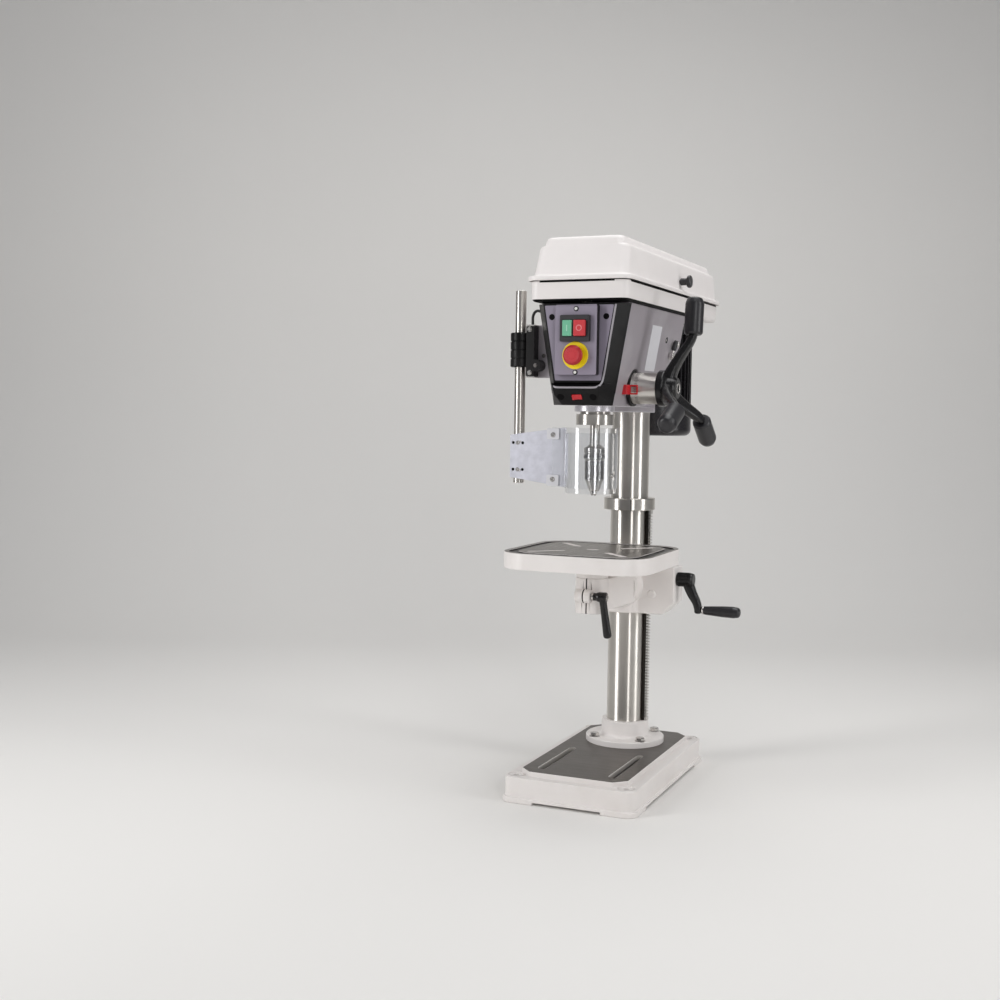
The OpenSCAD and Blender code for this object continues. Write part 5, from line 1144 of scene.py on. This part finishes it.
piece("quill_tube", soft_copy("quill", 0.8, 2), turned_steel, "quill", "polished_steel", "quill")
keep_cad(dark_iron, "quill_bearings")
turned_piece("spindle_bar", [(0, SPINDLE_LOW), (SPINDLE_R, SPINDLE_LOW, 1), (SPINDLE_R, SPINDLE_TOP, 1.5),
                             (0, SPINDLE_TOP)],
             SPINDLE, turned_steel, "spindle", "polished_steel", "spindle", steps=48)
turned_piece("chuck_core", [(0, 640), (5.2, 640), (5.2, 612), (9.6, 611.6, 0.8), (16.4, 631, 1.5),
                            (CORE_R, SLEEVE_LOW + 0.5), (CORE_R, SLEEVE_TOP + 1),
                            (COLLAR_R, SLEEVE_TOP + 1, 0.8), (COLLAR_R, 697.4, 1.5), (15, 700.4, 1),
                            (12.6, CHUCK_TOP, 1), (0, CHUCK_TOP)],
             SPINDLE, turned_steel, "spindle", "dark_steel", "chuck_body")
turned_piece("chuck_shell", [(CORE_R + 0.2, SLEEVE_LOW), (SLEEVE_R, SLEEVE_LOW, 0.6), (SLEEVE_R, 674, 0.5),
                             (20.3, 675, 0.5), (COLLAR_R, 676, 0.6), (COLLAR_R, SLEEVE_TOP, 0.8),
                             (CORE_R + 0.2, SLEEVE_TOP)],
             SPINDLE, turned_steel, "chuck_sleeve", "polished_steel", "chuck_sleeve", closed=True)
knurls = [("chuck_knurl", 653.5, 44, SLEEVE_R, 36), ("ring_knurl", 680.6, 52, COLLAR_R, 7)]
for name, z, count, radius, tall in knurls:
    bar_ring(name, bright_steel, "chuck_sleeve", "polished_steel", (0, SPINDLE_Y, z), count, radius - 0.1,
             (1.4, 1.3, tall))
print("chuck dressed")

# %% [markdown]
# Three jaws lean in to the drill's axis. Each is a turned finger on its own body, so that it slides when the
# sleeve turns, and it is slim enough to stay inside the sleeve when the chuck opens.

# %% Chuck jaws
JAW_LEAN, JAW_TIP, JAW_OUT = math.radians(15), 603, 3

for k in (1, 2, 3):
    turn = math.radians(120 * k - 30)
    out = Vector((math.cos(turn), math.sin(turn), 0))
    lean = out * math.sin(JAW_LEAN) + Vector((0, 0, math.cos(JAW_LEAN)))
    turned_piece(f"jaw_finger_{k}", [(0, 0), (1.6, 0), (3, 3, 1), (3, 18, 0.5), (0, 18)],
                 along(Vector((0, SPINDLE_Y, JAW_TIP)) + out * JAW_OUT, lean), bright_steel, f"jaw_{k}",
                 "polished_steel", f"chuck_jaw_{k}", steps=24)
print("jaws dressed")

# %% [markdown]
# The feed star: a hub with three bent arms and long soft grips. The arms are oval bars that leave the hub and
# lean outwards, the grips are turned about each arm's end, and the hub ends in a bright cap.

# %% Feed star
FEED_Y, FEED_Z = -74.8, 816.5
SHAFT_BORE, HUB_R, HUB_END, GRIP_X = 13.05, 36, 155.5, 180.5
FEED = Matrix.Translation((0, FEED_Y, FEED_Z))
arms = [FEED @ Matrix.Rotation(math.radians(-6 - 120 * k), 4, "X") for k in range(3)]
feed_axis = along((0, FEED_Y, FEED_Z), RIGHT)
arm_line = [(137, 0, 12, 17, 12), (139, 0, 28, 16, 11.6), (147, 0, 46, 14, 10), (160, 0, 68, 12.2, 8.8),
            (173, 0, 88, 10.8, 8), (179.6, 0, 102, 9.6, 7.6), (180.4, 0, 112, 9, 7.4)]

shape = bmesh.new()
turned(shape, rounded([(SHAFT_BORE, 118.5), (HUB_R, 118.5, 1.5), (HUB_R, 132, 4), (25, 137, 6), (23, 150, 3),
                       (20, HUB_END, 2), (0, HUB_END), (0, 135.6), (SHAFT_BORE, 135.6)]), feed_axis, 96, True)
for arm in arms:
    part = bmesh.new()
    bent_bar(part, arm_line, BACK, 32, square=0.6)
    part.transform(arm)
    keep = bpy.data.meshes.new("arm")
    part.to_mesh(keep)
    part.free()
    shape.from_mesh(keep)
piece("star_hub", shape, cast_black, "feed", "black_plastic", "feed_star")
shape = bmesh.new()
for arm in arms:
    turned(shape, rounded([(0, 106), (15.8, 106, 1.5), (18.5, 110, 3), (18.5, 168, 12), (14.5, 178, 6),
                           (7, 180, 4), (0, 180)]), arm @ Matrix.Translation((GRIP_X, 0, 0)), 64)
piece("star_grips", shape, grip_black, "feed", "black_plastic", "feed_grips")
turned_piece("star_cap", [(8, 155.3), (10.6, 155.3, 0.3), (10.4, 156.6, 0.5), (8.6, 156.8, 0.4), (8, 155.8)],
             feed_axis, bright_steel, "feed", "polished_steel", steps=64, closed=True)
# The bore inside the cap is a black disc: painted shade of the hole.
turned_piece("star_bore", [(0, 155.3), (8, 155.3), (8, 155.7), (0, 155.6)], feed_axis, deep_black, "feed",
             "black_plastic", steps=48)
keep_cad(bright_steel, "feed_shaft")
print("star dressed")

# %% [markdown]
# Between star and head sits the depth drum with its scale, read through a red window. The scale marks are
# bars in a ring, with every fifth one longer.

# %% Depth drum and pointer
DRUM_R, DRUM_START, DRUM_END = 31, 66.1, 118.1

turned_piece("drum_body", [(SHAFT_BORE, DRUM_START), (DRUM_R, DRUM_START, 1), (DRUM_R, DRUM_END, 1),
                           (SHAFT_BORE, DRUM_END)],
             feed_axis, cross_steel, "depth_drum", "polished_steel", "depth_drum", closed=True)
bar_ring("drum_marks", deep_black, "depth_drum", "black_plastic", (78, FEED_Y, FEED_Z), 60, DRUM_R,
         (0.3, 0.6, 10), ABOUT_X, every=5, short=0.55)
piece("feed_collar", soft_copy("feed_bearing", 1.0, 2), panel_black, "frame", "black_plastic", "feed_bearing")
piece("depth_window", soft_copy("depth_pointer", 0.7, 2), red_plastic, "frame", "red_plastic",
      "depth_pointer")
piece("spring_cover", soft_copy("spring_cap", 1.4, 3), panel_black, "frame", "black_plastic", "spring_cap")
keep_cad(dark_iron, "return_spring")
print("depth stop dressed")

# %% [markdown]
# A small lever on the head's side holds the motor's slide. Its stud is bare steel and its knob black.

# %% Tension lever
STUD_X, STUD_Y, STUD_Z = 76.2, 128, 889
HANDLE = along((STUD_X + 5, STUD_Y, STUD_Z), (0.2017, 0.242, 0.949))

shape = bmesh.new()
turned(shape, rounded([(0, 0), (7.5, 0, 0.5), (7.5, 10, 1.5), (0, 10)]),
       along((STUD_X, STUD_Y, STUD_Z), RIGHT), 48)
turned(shape, [(0, 0), (3, 0), (3, 12.2), (0, 12.2)], HANDLE, 24)
piece("tension_stud", shape, bright_steel, "tension_lever", "polished_steel", "tension_lever")
turned_piece("tension_knob", [(0, 12), (4, 12, 0.5), (5.5, 15, 2), (5.5, 30, 3), (3.6, 34.4, 2), (0, 35.4)],
             HANDLE, grip_black, "tension_lever", "black_plastic", steps=40)
print("tension lever dressed")

# %% [markdown]
# The chuck guard hangs on a rod in a ribbed holder beside the head. The rod is turned; holder and plate are
# soft copies with small rounds. The plate's finish is brushed metal with uneven clouds, as on raw sheet.

# %% Guard rod, holder and plate
ROD_X, ROD_R, ROD_LOW, ROD_TOP = -163, 11, 623, 1010
PLATE_Y = -131
SCREW_ROWS = (650.5, 704.5)

turned_piece("guard_bar", [(0, ROD_LOW), (ROD_R, ROD_LOW, 1.2), (ROD_R, ROD_TOP, 1.2), (0, ROD_TOP)],
             along((ROD_X, SPINDLE_Y, 0)), turned_steel, "guard", "polished_steel", "guard_rod", steps=64)
piece("guard_arm", soft_copy("guard_bracket", 0.8, 2), [head_grey, bright_steel], "frame", "grey_paint",
      "guard_bracket", pick=lambda normal, centre: int(centre.y < -112.6 and not 838.8 < centre.z < 938.2))
piece("guard_holder", soft_copy("guard_switch", 0.6, 2), panel_black, "frame", "black_plastic",
      "guard_switch")
fasteners("switch_bolts", [((-136.5, -135, 932.4), FRONT), ((-135.5, -135, 845.8), FRONT)], bright_steel,
          "frame", "polished_steel", sides=6, head=4.4, height=2.6, depth=0.0, washer=5.2)
fasteners("arm_screws", [((-114.4, -112, 880), FRONT), ((-122, -138, 860), FRONT)], dark_iron, "frame",
          "dark_steel")
keep_cad(grip_black, "guard_bush")
piece("guard_sheet", soft_copy("guard_plate", 0.3, 2), brushed_sheet, "guard", "sheet_alloy", "guard_plate")
fasteners("guard_screws", [((-160.6, PLATE_Y, z), FRONT) for z in SCREW_ROWS], bright_steel, "guard",
          "polished_steel")
# The plate's four holes are black discs: painted shade inside them.
shape = bmesh.new()
for x in (-170.2, -149.6):
    for z in SCREW_ROWS:
        turned(shape, [(0, -0.05), (3, -0.05), (3, 0.15), (0, 0.15)], along((x, PLATE_Y, z), FRONT), 24)
piece("guard_holes", shape, deep_black, "guard", "black_plastic")
print("guard holder dressed")

# %% [markdown]
# Two clear shields wrap the chuck. Both are bent sheet with a real wall, so their edges catch the light. Tabs
# and screws hold the outer one to the plate, and a wing screw sets the inner one, which slides in it.

# %% Shields
FLANGE_X, TAB_Y = -58.6, -133.05

shape = soft_copy("outer_shield", 0.3, 2)
for v in shape.verts:
    if v.co.x < -57 and v.co.y > -131.4:
        v.co.y -= 0.2
piece("shield_outer", shape, [clear_sheet, clear_flange], "guard", "clear_plastic", "outer_shield",
      pick=lambda normal, centre: int(centre.x < FLANGE_X and centre.y < -130.9))
shape = bmesh.new()
for z in (631, 724):
    slab(shape, oblong(-96, z - 11, -70, z + 11, 3), 0.8, upright(0, TAB_Y))
piece("shield_tabs", shape, tab_white, "guard", "clear_plastic")
fasteners("shield_screws", [((-83, -133.8, z), FRONT) for z in (633, 722)], bright_steel, "guard",
          "polished_steel", head=4.2, washer=5.2)
wing = along((43.0, -137.5, 644), (0.93, -0.367, 0))
ears = [wing @ Vector((0, h, 5.4 + abs(h) * 0.25)) for h in (-7.5, -4, 0, 4, 7.5)]
shape = bmesh.new()
turned(shape, rounded([(0, 0), (5, 0, 0.4), (5, 2.5, 0.5), (3.4, 3, 0.3), (3.4, 7, 0.8), (0, 7)]), wing, 32)
bent_bar(shape, [(*p, 1.2, 3.0) for p in ears], UP, 16, 4)
piece("shield_wing", shape, bright_steel, "guard", "polished_steel")
piece("shield_inner", soft_copy("inner_shield", 0.3, 2), clear_sheet, "inner_shield", "clear_plastic",
      "inner_shield")
print("shields dressed")

# %% [markdown]
# A short lead joins the guard's switch to the head. It is held at both ends, so it is a fixed bent tube, not
# a loose cord: the route is the one in the part's source, drawn through by a smooth curve.

# %% Switch lead
LEAD_R, LEAD_Y = 2.75, -115
route = [(-138, 941.5), (-138.2, 950), (-138, 958), (-135.5, 965), (-130.5, 969.4), (-124.5, 969.6),
         (-118, 966.4), (-110, 961.6), (-101, 958.2), (-94, 956.9), (-87.2, 956.5)]

shape = bmesh.new()
bent_bar(shape, [(x, LEAD_Y, z, LEAD_R, LEAD_R) for x, z in route], BACK, 20, 5)
piece("switch_lead", shape, belt_rubber, "frame", "belt_rubber", "guard_lead")
print("lead drawn")
